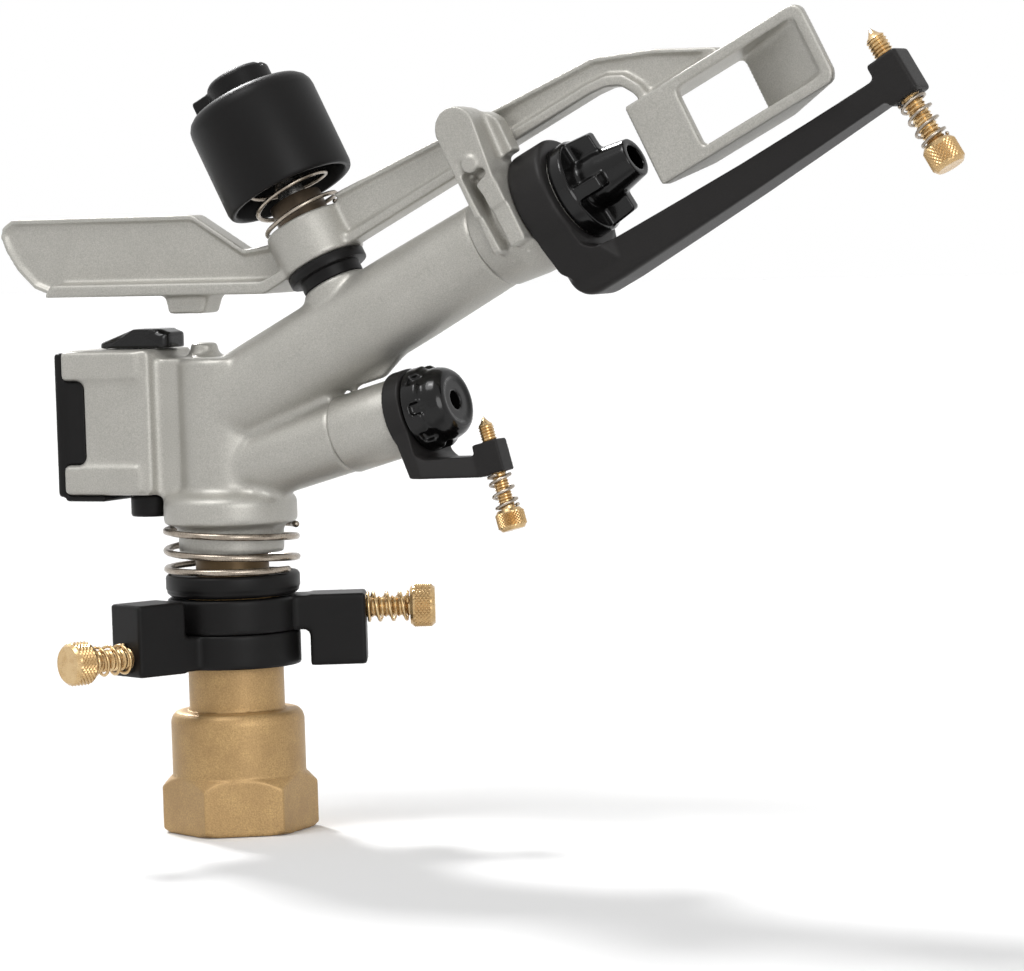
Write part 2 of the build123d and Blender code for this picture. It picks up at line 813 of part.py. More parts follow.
def side_breaker_spring():
    outer = side_screw_d + 2 * (screw_wire + screw_spring_clear)
    low = side_screw_head_t + side_screw_head_height + spring_gap
    return coil(
        outer, screw_wire, low, side_arm_end_t - spring_gap, screw_spring_turns, side_screw_axis
    )


def side_nozzle_holder():
    """Cast sleeve on the side barrel's end that the side nozzle screws into."""
    return turned([
        (side_spigot_d / 2, holder_start), (side_d / 2 + 0.4, holder_start),
        (holder_d / 2, holder_start + 3), (holder_d / 2, side_ring_start),
        (holder_spigot_d / 2, side_ring_start), (holder_spigot_d / 2, holder_end),
        (side_spigot_d / 2, holder_end),
    ], side_axis)


def side_nozzle():
    """Domed cap nozzle with notches round its rear flange."""
    face_r = side_nozzle_d / 2 - 3.2
    dome_r = side_nozzle_d / 2 - side_nozzle_notch_depth
    body = turned([
        (0, holder_end), (side_nozzle_d / 2, holder_end), (side_nozzle_d / 2, side_nozzle_skirt_end),
        (dome_r, side_nozzle_skirt_end), (dome_r, side_nozzle_face - 2.6),
        (face_r, side_nozzle_face), (0, side_nozzle_face),
    ])
    notch = block(
        (dome_r, side_nozzle_d), (-side_nozzle_notch_width / 2, side_nozzle_notch_width / 2),
        (side_nozzle_skirt_end - 3.0, side_nozzle_skirt_end + 1),
    )
    for i in range(side_nozzle_notches):
        body -= Rot(0, 0, 360 / side_nozzle_notches * i) * notch
    body += rod(side_spigot_d, holder_end - side_nozzle_stem, holder_end + 0.5)
    body -= rod(side_bore_d, holder_end - side_nozzle_stem - 1, side_nozzle_face - 4)
    return side_axis * (body - rod(side_nozzle_hole_d, holder_end, side_nozzle_face + 1))


def side_breaker_bracket():
    """Ring on the holder's spigot with a short lever for the side jet breaker screw."""
    collar = rod(side_ring_d, side_ring_start, side_ring_end, side_axis)
    lean = side_ring_start + side_elbow_lean
    lever = slab([
        (side_ring_start, 0), (lean, side_elbow_t), (side_block_start, side_arm_end_t),
        (side_block_end, side_arm_end_t), (side_block_end, side_block_top_t),
        (side_block_start, side_block_top_t), (side_block_start, side_arm_top_t - side_arm_drop),
        (side_ring_end + side_elbow_lean, side_arm_top_t), (side_ring_end, side_arm_top_t + side_elbow_lean),
        (side_ring_end, 0),
    ], side_ring_d, side_view)
    narrow = side_block_depth / 2
    wide = side_cheek_depth / 2
    plan = Polyline(
        (-wide, side_ring_start), (-wide, side_ring_end), (-narrow, side_block_start),
        (-narrow, side_block_end), (narrow, side_block_end), (narrow, side_block_start),
        (wide, side_ring_end), (wide, side_ring_start), close=True,
    )
    deep = Plane.YZ.offset(side_arm_end_t * 2)
    body = collar + (lever & side_axis * extrude(deep * make_face(plan), -side_arm_end_t * 3))
    body -= rod(holder_spigot_d, side_ring_start - 1, side_ring_end + 1, side_axis)
    hole = side_screw_d + 2 * turning_fit
    return body - rod(hole, side_screw_head_t, side_screw_tip_t, side_screw_axis)


def pivot_pin():
    """Steel pin that the arm swings on and the cap is held by."""
    return rod(pin_d, pin_bottom, pin_top, pivot_axis)


def pivot_thrust_bush():
    """Black bush that carries the arm's hub above the boss."""
    return turned([
        (pin_d / 2, boss_top), (bush_neck_d / 2, boss_top), (bush_neck_d / 2, bush_flange_bottom),
        (bush_flange_d / 2, bush_flange_bottom), (bush_flange_d / 2, bush_top), (pin_d / 2, bush_top),
    ], pivot_axis)


def paddle():
    """Tail of the arm: an upright web with a rim, on a level shelf."""
    tail_x = paddle_shelf_x - paddle_tail_reach
    corner_x, corner_z = paddle_tail_corner
    bulge_x, bulge_z = paddle_tail_bulge
    edge = Polyline(
        (paddle_left_x + corner_x, paddle_top_z), (paddle_shoulder_x, paddle_top_z),
        *[(x, paddle_bottom_z + up) for x, up in paddle_front_edge], (tail_x, paddle_bottom_z),
    )
    tail = ThreePointArc(
        (tail_x, paddle_bottom_z), (paddle_left_x + bulge_x, paddle_bottom_z + bulge_z),
        (paddle_left_x, paddle_top_z - corner_z),
    )
    nose = Line((paddle_left_x, paddle_top_z - corner_z), (paddle_left_x + corner_x, paddle_top_z))
    face = make_face(edge + tail + nose)
    web = extrude(upright_view * face, arm_web / 2, both=True)
    rim = extrude(upright_view * (face - offset(face, -arm_rim)), arm_rim_depth / 2, both=True)
    shelf = slab([
        (tail_x, paddle_bottom_z), (paddle_shelf_x, paddle_bottom_z + shelf_height),
        *[(x, paddle_bottom_z + up) for x, up in shelf_front_edge],
    ], shelf_depth, upright_view)
    pad_left, pad_right = strike_pad_top
    foot_left, foot_right = strike_pad_foot
    pad = slab([
        (pad_left, paddle_bottom_z + 0.5), (foot_left, strike_pad_bottom_z),
        (foot_right, strike_pad_bottom_z), (pad_right, paddle_bottom_z + 0.5),
    ], strike_pad_depth, upright_view)
    return web + rim + shelf + pad


def front_arm():
    """The rimmed web from the hub to the deflector, with a lip that curls down along its lower edge."""
    lip_end = deflector_start + 3
    curve_start = arm_bend_station - 5
    lip_low = lip_t - lip_fall
    outer = ThreePointArc(
        (lip_end, deflector_top), (lip_end - lip_curl_outer[0], lip_curl_outer[1]), (curve_start, lip_low)
    )
    inner = ThreePointArc(
        (curve_start, lip_low + lip_height), (lip_end - lip_curl_inner[0], lip_curl_inner[1]),
        (lip_end + lip_height, deflector_top),
    )
    near = [(pivot_station + run, up) for run, up in arm_near_edge]
    far = [(deflector_start + run, up) for run, up in arm_far_edge]
    edge = Polyline(
        (curve_start, lip_low), (arm_start_station, lip_t), *near, *far, (lip_end, deflector_top)
    )
    face = make_face(edge + outer)
    web = extrude(barrel_view * face, arm_web / 2, both=True)
    rim = extrude(barrel_view * (face - offset(face, -arm_rim)), arm_rim_depth / 2, both=True)
    lip = slab([
        (arm_start_station, lip_t), (curve_start, lip_low), (curve_start, lip_low + lip_height),
        (arm_start_station, lip_t + lip_height),
    ], lip_depth, barrel_view)
    ends = Line(outer @ 1, inner @ 0) + Line(inner @ 1, outer @ 0)
    curl = extrude(barrel_view * make_face(outer + inner + ends), lip_depth / 2, both=True)
    return web + rim + lip + curl


def deflector():
    """Two rails with an entry vane in front of the jet and a slanted drive vane behind it."""
    z = (deflector_start, deflector_end)
    y = (-deflector_back, deflector_front)
    box = block((deflector_bottom, deflector_top), y, z)
    corners = box.edges().filter_by(Axis.Y).group_by(Axis.Z)
    box = fillet(corners[-1], deflector_corner)
    box = fillet(box.edges().filter_by(Axis.Y).group_by(Axis.Z)[0], deflector_low_corner)
    low = deflector_bottom + rail_height
    high = deflector_top - rail_height
    vane_height = deflector_top - deflector_bottom - 2 * vane_inset
    past = deflector_front + deflector_back
    box -= block((low, high), (-past, past), (deflector_start - 1, deflector_end - end_wall))
    entry = extrude(
        Plane.YZ * make_face(Polyline(
            (deflector_front, deflector_start), (deflector_front, entry_vane_end),
            (deflector_front - entry_vane_thick, entry_vane_end),
            (deflector_front - entry_vane_lead, deflector_start), close=True,
        )), vane_height,
    )
    entry = Pos(deflector_bottom + vane_inset, 0, 0) * entry
    slant_end = deflector_end - end_wall
    drive = extrude(
        Plane.YZ * make_face(Polyline(
            (-deflector_back, drive_vane_start), (-deflector_back, drive_vane_start + drive_vane_thick * 2),
            (deflector_front - drive_vane_thick * 2, slant_end + 0.5),
            (deflector_front - 0.4, slant_end + 0.5), close=True,
        )), vane_height,
    )
    drive = Pos(deflector_bottom + vane_inset, 0, 0) * drive
    plan = extrude(
        Plane.YZ.offset(deflector_bottom - 1) * make_face(Polyline(
            (deflector_front + 1, deflector_start - 1), (deflector_front + 1, deflector_end + 1),
            (deflector_front - end_wall, deflector_end + 1), (deflector_front - end_wall, slant_end),
            (-deflector_back, drive_vane_start + drive_vane_thick * 3), (-deflector_back, entry_vane_end - 4),
            (deflector_front - entry_vane_thick - 1, deflector_start - 1), close=True,
        )), deflector_top - deflector_bottom + 2,
    )
    return barrel_axis * ((box + entry + drive) & plan)


def drive_arm():
    """The whole cast arm, bored for its bush."""
    hub = rod(hub_d, bush_top + thrust_gap, hub_top, pivot_axis)
    arm = paddle() + front_arm() + deflector() + hub
    under = rod(bush_flange_d + hub_under_room, 0, bush_top + thrust_gap, pivot_axis)
    above = rod(hub_d + hub_over_room, hub_top, hub_top + hub_d, pivot_axis)
    return arm - under - above - rod(arm_bush_d, 0, hub_top + hub_d, pivot_axis)


def arm_bush():
    """Plastic bushing pressed into the hub, running on the pin."""
    return ring(
        arm_bush_d, pin_d + 2 * turning_fit, bush_top + thrust_gap, arm_bush_top, pivot_axis
    )


def arm_spring():
    """Return spring from the arm's hub up into the cap."""
    return coil(
        arm_spring_d, arm_spring_wire, hub_top + spring_gap, spring_seat_t - spring_gap,
        arm_spring_turns, pivot_axis,
    )


def spring_cap():
    """Deep cap over the return spring, clamped to the pin's top."""
    cap = rod(cap_d, cap_bottom, cap_top)
    cap = chamfer(cap.edges().group_by(Axis.Z)[-1], cap_round * 0.7)
    cap -= rod(cap_d - 2 * cap_wall, cap_bottom - 1, spring_seat_t)
    return pivot_axis * (cap - rod(pin_d + 2 * turning_fit, cap_bottom, cap_top + 1))


def knob_washer():
    """Bright washer between the cap and its knob."""
    return ring(
        knob_washer_d, pin_d + 2 * turning_fit, cap_top, cap_top + knob_washer_height, pivot_axis
    )


def tension_knob():
    """Stepped knob that clamps the cap and sets the spring's tension."""
    low = cap_top + knob_washer_height
    knob = rod(knob_d, low, low + knob_height)
    knob = chamfer(knob.edges().group_by(Axis.Z)[-1], knob_edge)
    lug = block(
        (-knob_lug_reach, 0), (-knob_lug_width / 2, knob_lug_width / 2), (low, low + knob_lug_height)
    )
    slot = block((-knob_d, knob_d), (-1.2, 1.2), (low + knob_height - 1.6, low + knob_height + 1))
    bore = rod(pin_d + 2 * turning_fit, low - 1, pin_top + 0.4)
    return pivot_axis * (knob + lug - slot - bore)


def reverser_cover():
    """Black cover on the housing's open side, with a tongue that fills the side window."""
    half = housing_depth / 2
    low = housing_bottom - cover_overhang
    high = housing_top - cover_overhang
    plate = block((housing_left - cover_thick, housing_left), (-half, half), (low, high))
    plate = fillet(plate.edges().filter_by(Axis.Y).group_by(Axis.X)[0], 0.8)
    middle = (housing_bottom + housing_top) / 2
    reach = window_height / 2 - 0.1
    tongue = block(
        (housing_left - 0.5, window_right - 0.1), (-half + 0.5, -half + housing_wall),
        (middle - reach, middle + reach),
    )
    inside = toggle_spring_d - 2 * (toggle_spring_wire + screw_spring_clear)
    seat = rod(inside, -0.5, 3.0, Plane(origin=(housing_left, 0, crank_z), z_dir=(1, 0, 0)))
    lip = block((housing_left - 0.5, cover_lip_right), (-half, half), (low - 1.2, housing_bottom - 0.1))
    return plate + tongue + seat + lip


def trip_low():
    return housing_bottom - trip_height - free_gap


def reverser_spindle():
    """Upright steel spindle with the crank that the toggle spring pushes on."""
    spindle = rod(spindle_d, trip_low(), housing_top + free_gap + cam_high - 1.0, spindle_axis)
    crank = block(
        (-crank_reach, 0), (-2.0, 2.0), (crank_z - crank_height / 2, crank_z + crank_height / 2),
        spindle_axis,
    )
    return spindle + crank


def toggle_spring():
    """Spring between the crank and the cover that snaps the reverser over."""
    place = Plane(origin=(housing_left, 0, crank_z), z_dir=(1, 0, 0))
    high = spindle_x - crank_reach - housing_left - spring_gap
    return coil(toggle_spring_d, toggle_spring_wire, spring_gap, high, toggle_spring_turns, place)


def reverser_cam():
    """Black wedge on the housing that lifts under the arm's strike pad when it is switched."""
    low = housing_top + free_gap
    half = cam_depth / 2
    wedge = slab([
        (cam_left, low), (cam_right, low), (cam_right, low + cam_high * 0.8),
        (cam_right - 3, low + cam_high), (cam_right - 12, low + cam_high), (cam_left, low + cam_low),
    ], cam_depth, upright_view)
    wedge = fillet(wedge.edges().filter_by(Axis.Z), half * 0.5)
    return wedge - rod(spindle_d, low - 1, low + cam_high - 1.0, spindle_axis)


def trip_lever():
    """Lever under the housing whose finger hangs down behind the collars' tabs."""
    low = trip_low()
    high = housing_bottom - free_gap
    azimuth = radians(trip_finger_azimuth)
    finger = Vector(trip_finger_r * cos(azimuth), trip_finger_r * sin(azimuth), 0)
    hub = rod(trip_hub_d, low, high, spindle_axis)
    along = finger - Vector(spindle_x, 0, 0)
    bar_place = Plane(origin=(spindle_x, 0, 0), x_dir=along, z_dir=(0, 0, 1))
    half = trip_finger_width / 2
    bar = block((0, along.length + half), (-half + 1, half), (low, high), bar_place)
    hang = Plane(origin=(0, 0, 0), x_dir=(cos(azimuth), sin(azimuth), 0), z_dir=(0, 0, 1))
    drop = block(
        (trip_finger_r - trip_finger_thick / 2, trip_finger_r + trip_finger_thick / 2),
        (-half, half), (trip_finger_bottom, high), hang,
    )
    return hub + bar + drop - rod(spindle_d, low - 1, high + 1, spindle_axis)


washer_names = ["thrust_washer", "thrust_seal"]

keep("inlet_coupling", inlet_coupling())
for number, name in enumerate(washer_names):
    keep(name, thrust_washer(number))
keep("spring_seat_washer", spring_seat_washer())
keep("bearing_tube", bearing_tube())
keep("body_spring", body_spring())
keep("body_casting", body_casting())
keep("stream_straightener", stream_straightener())
keep("barrel_head", barrel_head())
keep("main_nozzle", main_nozzle())
keep("main_breaker_bracket", main_breaker_bracket())
keep("main_breaker_screw", main_breaker_screw())
keep("main_breaker_spring", main_breaker_spring())
keep("side_nozzle_holder", side_nozzle_holder())
keep("side_nozzle", side_nozzle())
keep("side_breaker_bracket", side_breaker_bracket())
keep("side_breaker_screw", side_breaker_screw())
keep("side_breaker_spring", side_breaker_spring())
keep("pivot_pin", pivot_pin())
keep("pivot_thrust_bush", pivot_thrust_bush())
keep("drive_arm", drive_arm())
keep("arm_bush", arm_bush())
keep("arm_spring", arm_spring())
keep("spring_cap", spring_cap())
keep("knob_washer", knob_washer())
keep("tension_knob", tension_knob())
keep("reverser_cover", reverser_cover())
keep("reverser_spindle", reverser_spindle())
keep("toggle_spring", toggle_spring())
keep("reverser_cam", reverser_cam())
keep("trip_lever", trip_lever())
tabs = [
    ("upper", upper_collar_z(), upper_tab_azimuth, upper_screw_z),
    ("lower", lower_collar_z(), lower_tab_azimuth, lower_screw_z),
]
for name, low, azimuth, screw_z in tabs:
    keep(name + "_stop_collar", with_screw_hole(stop_collar(low, azimuth), azimuth, screw_z))
    keep(name + "_stop_screw", stop_screw(azimuth, screw_z))
    keep(name + "_stop_spring", stop_screw_spring(azimuth, screw_z))
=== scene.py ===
# %% [markdown]
# An impulse sprinkler, dressed over its fixed frame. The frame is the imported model: every moving body
# and every node already sits where it works. This lesson gives each node the surface it has on the real
# thing: sand-cast aluminium, blasted brass, moulded black plastic and wound spring wire.
# Sizes are written in millimetres while a piece is made, and turned into metres when it is finished.

# %% The frame and the tools
import bpy
import bmesh
from math import cos, pi, radians, sin, tau
from mathutils import Matrix, Vector


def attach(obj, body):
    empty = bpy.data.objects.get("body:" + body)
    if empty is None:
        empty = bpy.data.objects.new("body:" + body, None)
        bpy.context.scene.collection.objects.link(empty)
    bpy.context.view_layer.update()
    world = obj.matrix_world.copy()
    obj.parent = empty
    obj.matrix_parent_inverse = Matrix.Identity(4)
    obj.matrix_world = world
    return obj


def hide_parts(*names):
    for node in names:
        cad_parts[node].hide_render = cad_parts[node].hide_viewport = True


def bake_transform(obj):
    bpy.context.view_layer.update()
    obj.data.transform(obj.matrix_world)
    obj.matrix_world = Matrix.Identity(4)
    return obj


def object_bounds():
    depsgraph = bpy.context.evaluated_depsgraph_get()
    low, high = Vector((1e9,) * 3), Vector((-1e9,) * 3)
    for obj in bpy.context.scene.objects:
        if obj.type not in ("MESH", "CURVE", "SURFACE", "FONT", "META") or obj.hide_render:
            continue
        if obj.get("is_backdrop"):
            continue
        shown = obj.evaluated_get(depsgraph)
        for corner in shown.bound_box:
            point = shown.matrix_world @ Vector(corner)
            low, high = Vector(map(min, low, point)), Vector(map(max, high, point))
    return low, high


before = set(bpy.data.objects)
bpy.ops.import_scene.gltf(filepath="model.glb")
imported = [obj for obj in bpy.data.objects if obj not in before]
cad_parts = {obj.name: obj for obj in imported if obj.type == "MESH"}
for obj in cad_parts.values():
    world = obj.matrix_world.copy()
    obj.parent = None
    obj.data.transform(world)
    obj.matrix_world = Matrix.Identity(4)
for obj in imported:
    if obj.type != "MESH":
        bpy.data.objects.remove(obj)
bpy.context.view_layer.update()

# %% [markdown]
# The camera comes first, because every later choice is judged through it. It looks from a little right
# of the object's front through a long lens, which keeps the column almost free of perspective. The
# picture leans by under two degrees, so the camera is rolled, never the object.

# %% Camera
camera_turn, camera_rise, camera_roll = radians(28.5), radians(3.7), radians(-1.8)
camera_target, camera_distance = Vector((0.090, 0.0, 0.097)), 1.285
lens_pixels, image_width, sensor_width = 4737, 1024, 36.0
backward = Vector((sin(camera_turn) * cos(camera_rise), -cos(camera_turn) * cos(camera_rise), sin(camera_rise)))
level_right = (-backward).cross(Vector((0, 0, 1))).normalized()
level_up = level_right.cross(-backward)
right = level_right * cos(camera_roll) + level_up * sin(camera_roll)
up = level_up * cos(camera_roll) - level_right * sin(camera_roll)
camera = bpy.data.objects.new("camera", bpy.data.cameras.new("camera"))
bpy.context.scene.collection.objects.link(camera)
camera.data.sensor_width = sensor_width
camera.data.lens = lens_pixels / image_width * sensor_width
camera.data.clip_end = 20.0
turned_camera = Matrix((right, up, backward)).transposed().to_4x4()
turned_camera.translation = camera_target + backward * camera_distance
camera.matrix_world = turned_camera
bpy.context.scene.camera = camera
print("lens", round(camera.data.lens, 1))

# %% [markdown]
# The studio is plain: a white floor, an even white surround and a soft sun behind the left shoulder of
# the object, which throws the shadow towards the lower right. Two weaker suns fill in from above and
# from the right, and one small lamp draws the bright line on glossy mouldings. The surround is white to
# the camera and to reflections, and dimmer as light, so that the floor keeps the shadow.

# %% Studio
scene = bpy.context.scene
scene.view_settings.view_transform = "Standard"
surround_light, key_strength, key_softness = 0.26, 2.5, radians(9)
fill_softness, lamp_distance = radians(30), 0.9


def white_for_eyes_and_mirrors(tree):
    """A mask that is 1 for camera, glossy and transmission rays, and 0 for light on matt surfaces."""
    path = tree.nodes.new("ShaderNodeLightPath")
    total = None
    for name in ("Is Camera Ray", "Is Glossy Ray", "Is Transmission Ray"):
        if total is None:
            total = path.outputs[name]
            continue
        add = tree.nodes.new("ShaderNodeMath")
        add.operation, add.use_clamp = "MAXIMUM", True
        tree.links.new(total, add.inputs[0])
        tree.links.new(path.outputs[name], add.inputs[1])
        total = add.outputs[0]
    return total


world = bpy.data.worlds.new("surround")
world.use_nodes = True
scene.world = world
tree = world.node_tree
shine = tree.nodes["Background"]
shine.inputs["Color"].default_value = (1.0, 1.0, 1.0, 1.0)
level = tree.nodes.new("ShaderNodeMapRange")
level.inputs["To Min"].default_value, level.inputs["To Max"].default_value = surround_light, 1.0
tree.links.new(white_for_eyes_and_mirrors(tree), level.inputs["Value"])
tree.links.new(level.outputs["Result"], shine.inputs["Strength"])


def lamp(name, kind, direction, energy, size):
    """A lamp that stands off in one direction and looks at the middle of the sprinkler."""
    data = bpy.data.lights.new(name, kind)
    data.energy = energy
    if kind == "SUN":
        data.angle = size
    else:
        data.shape, data.size = "DISK", size
    holder = bpy.data.objects.new(name, data)
    scene.collection.objects.link(holder)
    away = Vector(direction).normalized()
    pose = away.to_track_quat("Z", "Y").to_matrix().to_4x4()
    pose.translation = camera_target + away * lamp_distance
    holder.matrix_world = pose


lamp("key", "SUN", (-0.80, 0.61, 0.80), key_strength, key_softness)
lamp("top_fill", "SUN", (-0.30, -0.55, 1.1), 1.1, fill_softness)
lamp("right_fill", "SUN", (1.0, -0.85, 0.35), 1.0, fill_softness)
lamp("glint", "AREA", (-0.25, -0.55, 1.25), 0.7, 0.12)
print("studio ready")

# %% [markdown]
# The floor is a wide sheet of paper, white to the camera and grey as light, so that it doesn't wash out
# the undersides. A faint glow of its own makes it as bright as the surround, and no horizon shows.

# %% Floor
floor_half_width, floor_level = 6.0, -0.0002
floor_mesh = bpy.data.meshes.new("floor")
bm = bmesh.new()
bmesh.ops.create_grid(bm, x_segments=1, y_segments=1, size=floor_half_width)
bmesh.ops.translate(bm, verts=bm.verts, vec=(0, 0, floor_level))
bm.to_mesh(floor_mesh)
bm.free()
floor = bpy.data.objects.new("floor", floor_mesh)
scene.collection.objects.link(floor)
floor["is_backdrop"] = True
paper = bpy.data.materials.new("paper_floor")
paper.use_nodes = True
paper_shader = paper.node_tree.nodes["Principled BSDF"]
paper_white = paper.node_tree.nodes.new("ShaderNodeMapRange")
paper_white.inputs["To Min"].default_value, paper_white.inputs["To Max"].default_value = 0.35, 0.93
paper.node_tree.links.new(white_for_eyes_and_mirrors(paper.node_tree), paper_white.inputs["Value"])
paper.node_tree.links.new(paper_white.outputs["Result"], paper_shader.inputs["Base Color"])
paper_shader.inputs["Roughness"].default_value = 0.9
paper_shader.inputs["Specular IOR Level"].default_value = 0.0
paper_shader.inputs["Emission Color"].default_value = (1.0, 1.0, 1.0, 1.0)
floor_lift = paper.node_tree.nodes.new("ShaderNodeMapRange")
floor_lift.inputs["To Max"].default_value = 0.06
paper.node_tree.links.new(white_for_eyes_and_mirrors(paper.node_tree), floor_lift.inputs["Value"])
paper.node_tree.links.new(floor_lift.outputs["Result"], paper_shader.inputs["Emission Strength"])
floor_mesh.materials.append(paper)

# %% [markdown]
# Two effects come back in almost every finish here, so each is a node group. "fine_grain" gives a
# colour value and a height from two scales of noise: the sand of a casting, the orange peel of a
# moulding. The second group finds raised edges from the mesh's own curvature and breaks the line up;
# the lighter tone laid there is wear and a painted highlight. It also finds hollows, for painted shade.

# %% Shared effects


def new_group(name, inputs, outputs):
    group = bpy.data.node_groups.new(name, "ShaderNodeTree")
    for label, start in inputs:
        socket = group.interface.new_socket(label, in_out="INPUT", socket_type="NodeSocketFloat")
        socket.default_value = start
    for label in outputs:
        group.interface.new_socket(label, in_out="OUTPUT", socket_type="NodeSocketFloat")
    return group, group.nodes.new("NodeGroupInput"), group.nodes.new("NodeGroupOutput")


def maths(tree, operation, first, second, clamp=False):
    node = tree.nodes.new("ShaderNodeMath")
    node.operation, node.use_clamp = operation, clamp
    for socket, value in zip(node.inputs, (first, second)):
        if isinstance(value, (int, float)):
            socket.default_value = value
        else:
            tree.links.new(value, socket)
    return node.outputs[0]


grain, grain_in, grain_out = new_group(
    "fine_grain", [("Size", 0.4), ("Patch Size", 9.0), ("Fleck", 0.5)], ["Tone", "Patches", "Height"]
)
where = grain.nodes.new("ShaderNodeTexCoord").outputs["Object"]


def noise_of_size(tree, place, size_mm, detail, roughness):
    """Noise whose cells are about size_mm across."""
    node = tree.nodes.new("ShaderNodeTexNoise")
    node.inputs["Detail"].default_value = detail
    node.inputs["Roughness"].default_value = roughness
    tree.links.new(place, node.inputs["Vector"])
    tree.links.new(maths(tree, "DIVIDE", 1000.0, size_mm), node.inputs["Scale"])
    return node.outputs["Fac"]


sand = noise_of_size(grain, where, grain_in.outputs["Size"], 3.0, 0.6)
patch = noise_of_size(grain, where, grain_in.outputs["Patch Size"], 4.0, 0.55)
flecks = maths(grain, "MULTIPLY", maths(grain, "SUBTRACT", sand, 0.5), grain_in.outputs["Fleck"])
grain.links.new(maths(grain, "ADD", flecks, 0.5, clamp=True), grain_out.inputs["Tone"])
grain.links.new(patch, grain_out.inputs["Patches"])
grain.links.new(maths(grain, "ADD", sand, maths(grain, "MULTIPLY", patch, 1.5)), grain_out.inputs["Height"])

# This group paints light and shade from curvature: raised edges get wear and a painted highlight, hollows get painted
# shade.
wear_and_light, wear_and_light_in, wear_and_light_out = new_group("wear_highlight_and_shade", [("Amount", 0.5), ("Break Up", 3.0)], ["Edge", "Hollow Shade"])
curve = wear_and_light.nodes.new("ShaderNodeNewGeometry").outputs["Pointiness"]
broken = noise_of_size(
    wear_and_light, wear_and_light.nodes.new("ShaderNodeTexCoord").outputs["Object"], wear_and_light_in.outputs["Break Up"], 5.0, 0.6
)


def stepped(tree, value, low, high):
    node = tree.nodes.new("ShaderNodeMapRange")
    node.interpolation_type = "SMOOTHSTEP"
    node.inputs["From Min"].default_value, node.inputs["From Max"].default_value = low, high
    tree.links.new(value, node.inputs["Value"])
    return node.outputs["Result"]


# Raised edges: wear and a painted highlight, broken up by noise.
raised = stepped(wear_and_light, curve, 0.51, 0.60)
rubbed_and_lit = maths(wear_and_light, "MULTIPLY", raised, stepped(wear_and_light, broken, 0.35, 0.65))
wear_and_light.links.new(maths(wear_and_light, "MULTIPLY", rubbed_and_lit, wear_and_light_in.outputs["Amount"], clamp=True), wear_and_light_out.inputs["Edge"])
# Hollows: a mask for painted shade in the mesh's concave places.
wear_and_light.links.new(stepped(wear_and_light, curve, 0.49, 0.40), wear_and_light_out.inputs["Hollow Shade"])
print("groups:", [g.name for g in bpy.data.node_groups])

# %% [markdown]
# One recipe serves every finish: a dark and a light tone mixed by the grain, larger patches that
# shift the tone a little, a lighter tone on raised edges that is wear and a painted highlight, and a
# painted shade tone in hollows. What makes brass differ from plastic is only the numbers, plus whether the shader is
# metallic.

# %% Finishes
finishes = {}


def mix_colour(tree, factor, first, second):
    node = tree.nodes.new("ShaderNodeMix")
    node.data_type = "RGBA"
    for socket, value in ((node.inputs["Factor"], factor), (node.inputs[6], first), (node.inputs[7], second)):
        if isinstance(value, bpy.types.NodeSocket):
            tree.links.new(value, socket)
        elif isinstance(value, tuple):
            socket.default_value = (*value, 1.0)
        else:
            socket.default_value = value
    return node.outputs[2]


def finish_of(name, dark, light, edge_wear_and_highlight, hollow_shade_tone, metallic, rough, grain_mm, fleck, patch_mm, patch_tone,
              bump, edge, coat=0.0, specular=0.5):
    """A material from two tones, grain, patches, edges lightened by wear and a painted highlight, and hollows darkened
    by painted shade.
    """
    material = bpy.data.materials.new(name)
    material.use_nodes = True
    tree = material.node_tree
    shader = tree.nodes["Principled BSDF"]
    surface = tree.nodes.new("ShaderNodeGroup")
    surface.node_tree = grain
    for label, value in (("Size", grain_mm), ("Patch Size", patch_mm), ("Fleck", fleck)):
        surface.inputs[label].default_value = value
    edges = tree.nodes.new("ShaderNodeGroup")
    edges.node_tree = wear_and_light
    edges.inputs["Amount"].default_value = edge
    colour = mix_colour(tree, surface.outputs["Tone"], dark, light)
    patches = stepped(tree, surface.outputs["Patches"], 0.35, 0.65)
    colour = mix_colour(tree, maths(tree, "MULTIPLY", patches, patch_tone), colour, dark)
    # Painted shade: hollows are darkened towards the shade tone.
    colour = mix_colour(tree, maths(tree, "MULTIPLY", edges.outputs["Hollow Shade"], 0.55), colour, hollow_shade_tone)
    # Raised edges are lightened: wear and a painted highlight.
    colour = mix_colour(tree, edges.outputs["Edge"], colour, edge_wear_and_highlight)
    tree.links.new(colour, shader.inputs["Base Color"])
    spread = rough[1] - rough[0]
    uneven = maths(tree, "ADD", maths(tree, "MULTIPLY", surface.outputs["Tone"], spread), rough[0])
    smoother = maths(tree, "SUBTRACT", uneven, maths(tree, "MULTIPLY", edges.outputs["Edge"], 0.12), clamp=True)
    tree.links.new(smoother, shader.inputs["Roughness"])
    relief = tree.nodes.new("ShaderNodeBump")
    relief.inputs["Strength"].default_value = bump[0]
    relief.inputs["Distance"].default_value = bump[1] / 1000
    tree.links.new(surface.outputs["Height"], relief.inputs["Height"])
    tree.links.new(relief.outputs["Normal"], shader.inputs["Normal"])
    shader.inputs["Metallic"].default_value = metallic
    shader.inputs["Specular IOR Level"].default_value = specular
    shader.inputs["Coat Weight"].default_value = coat
    shader.inputs["Coat Roughness"].default_value = 0.25
    finishes[name] = material


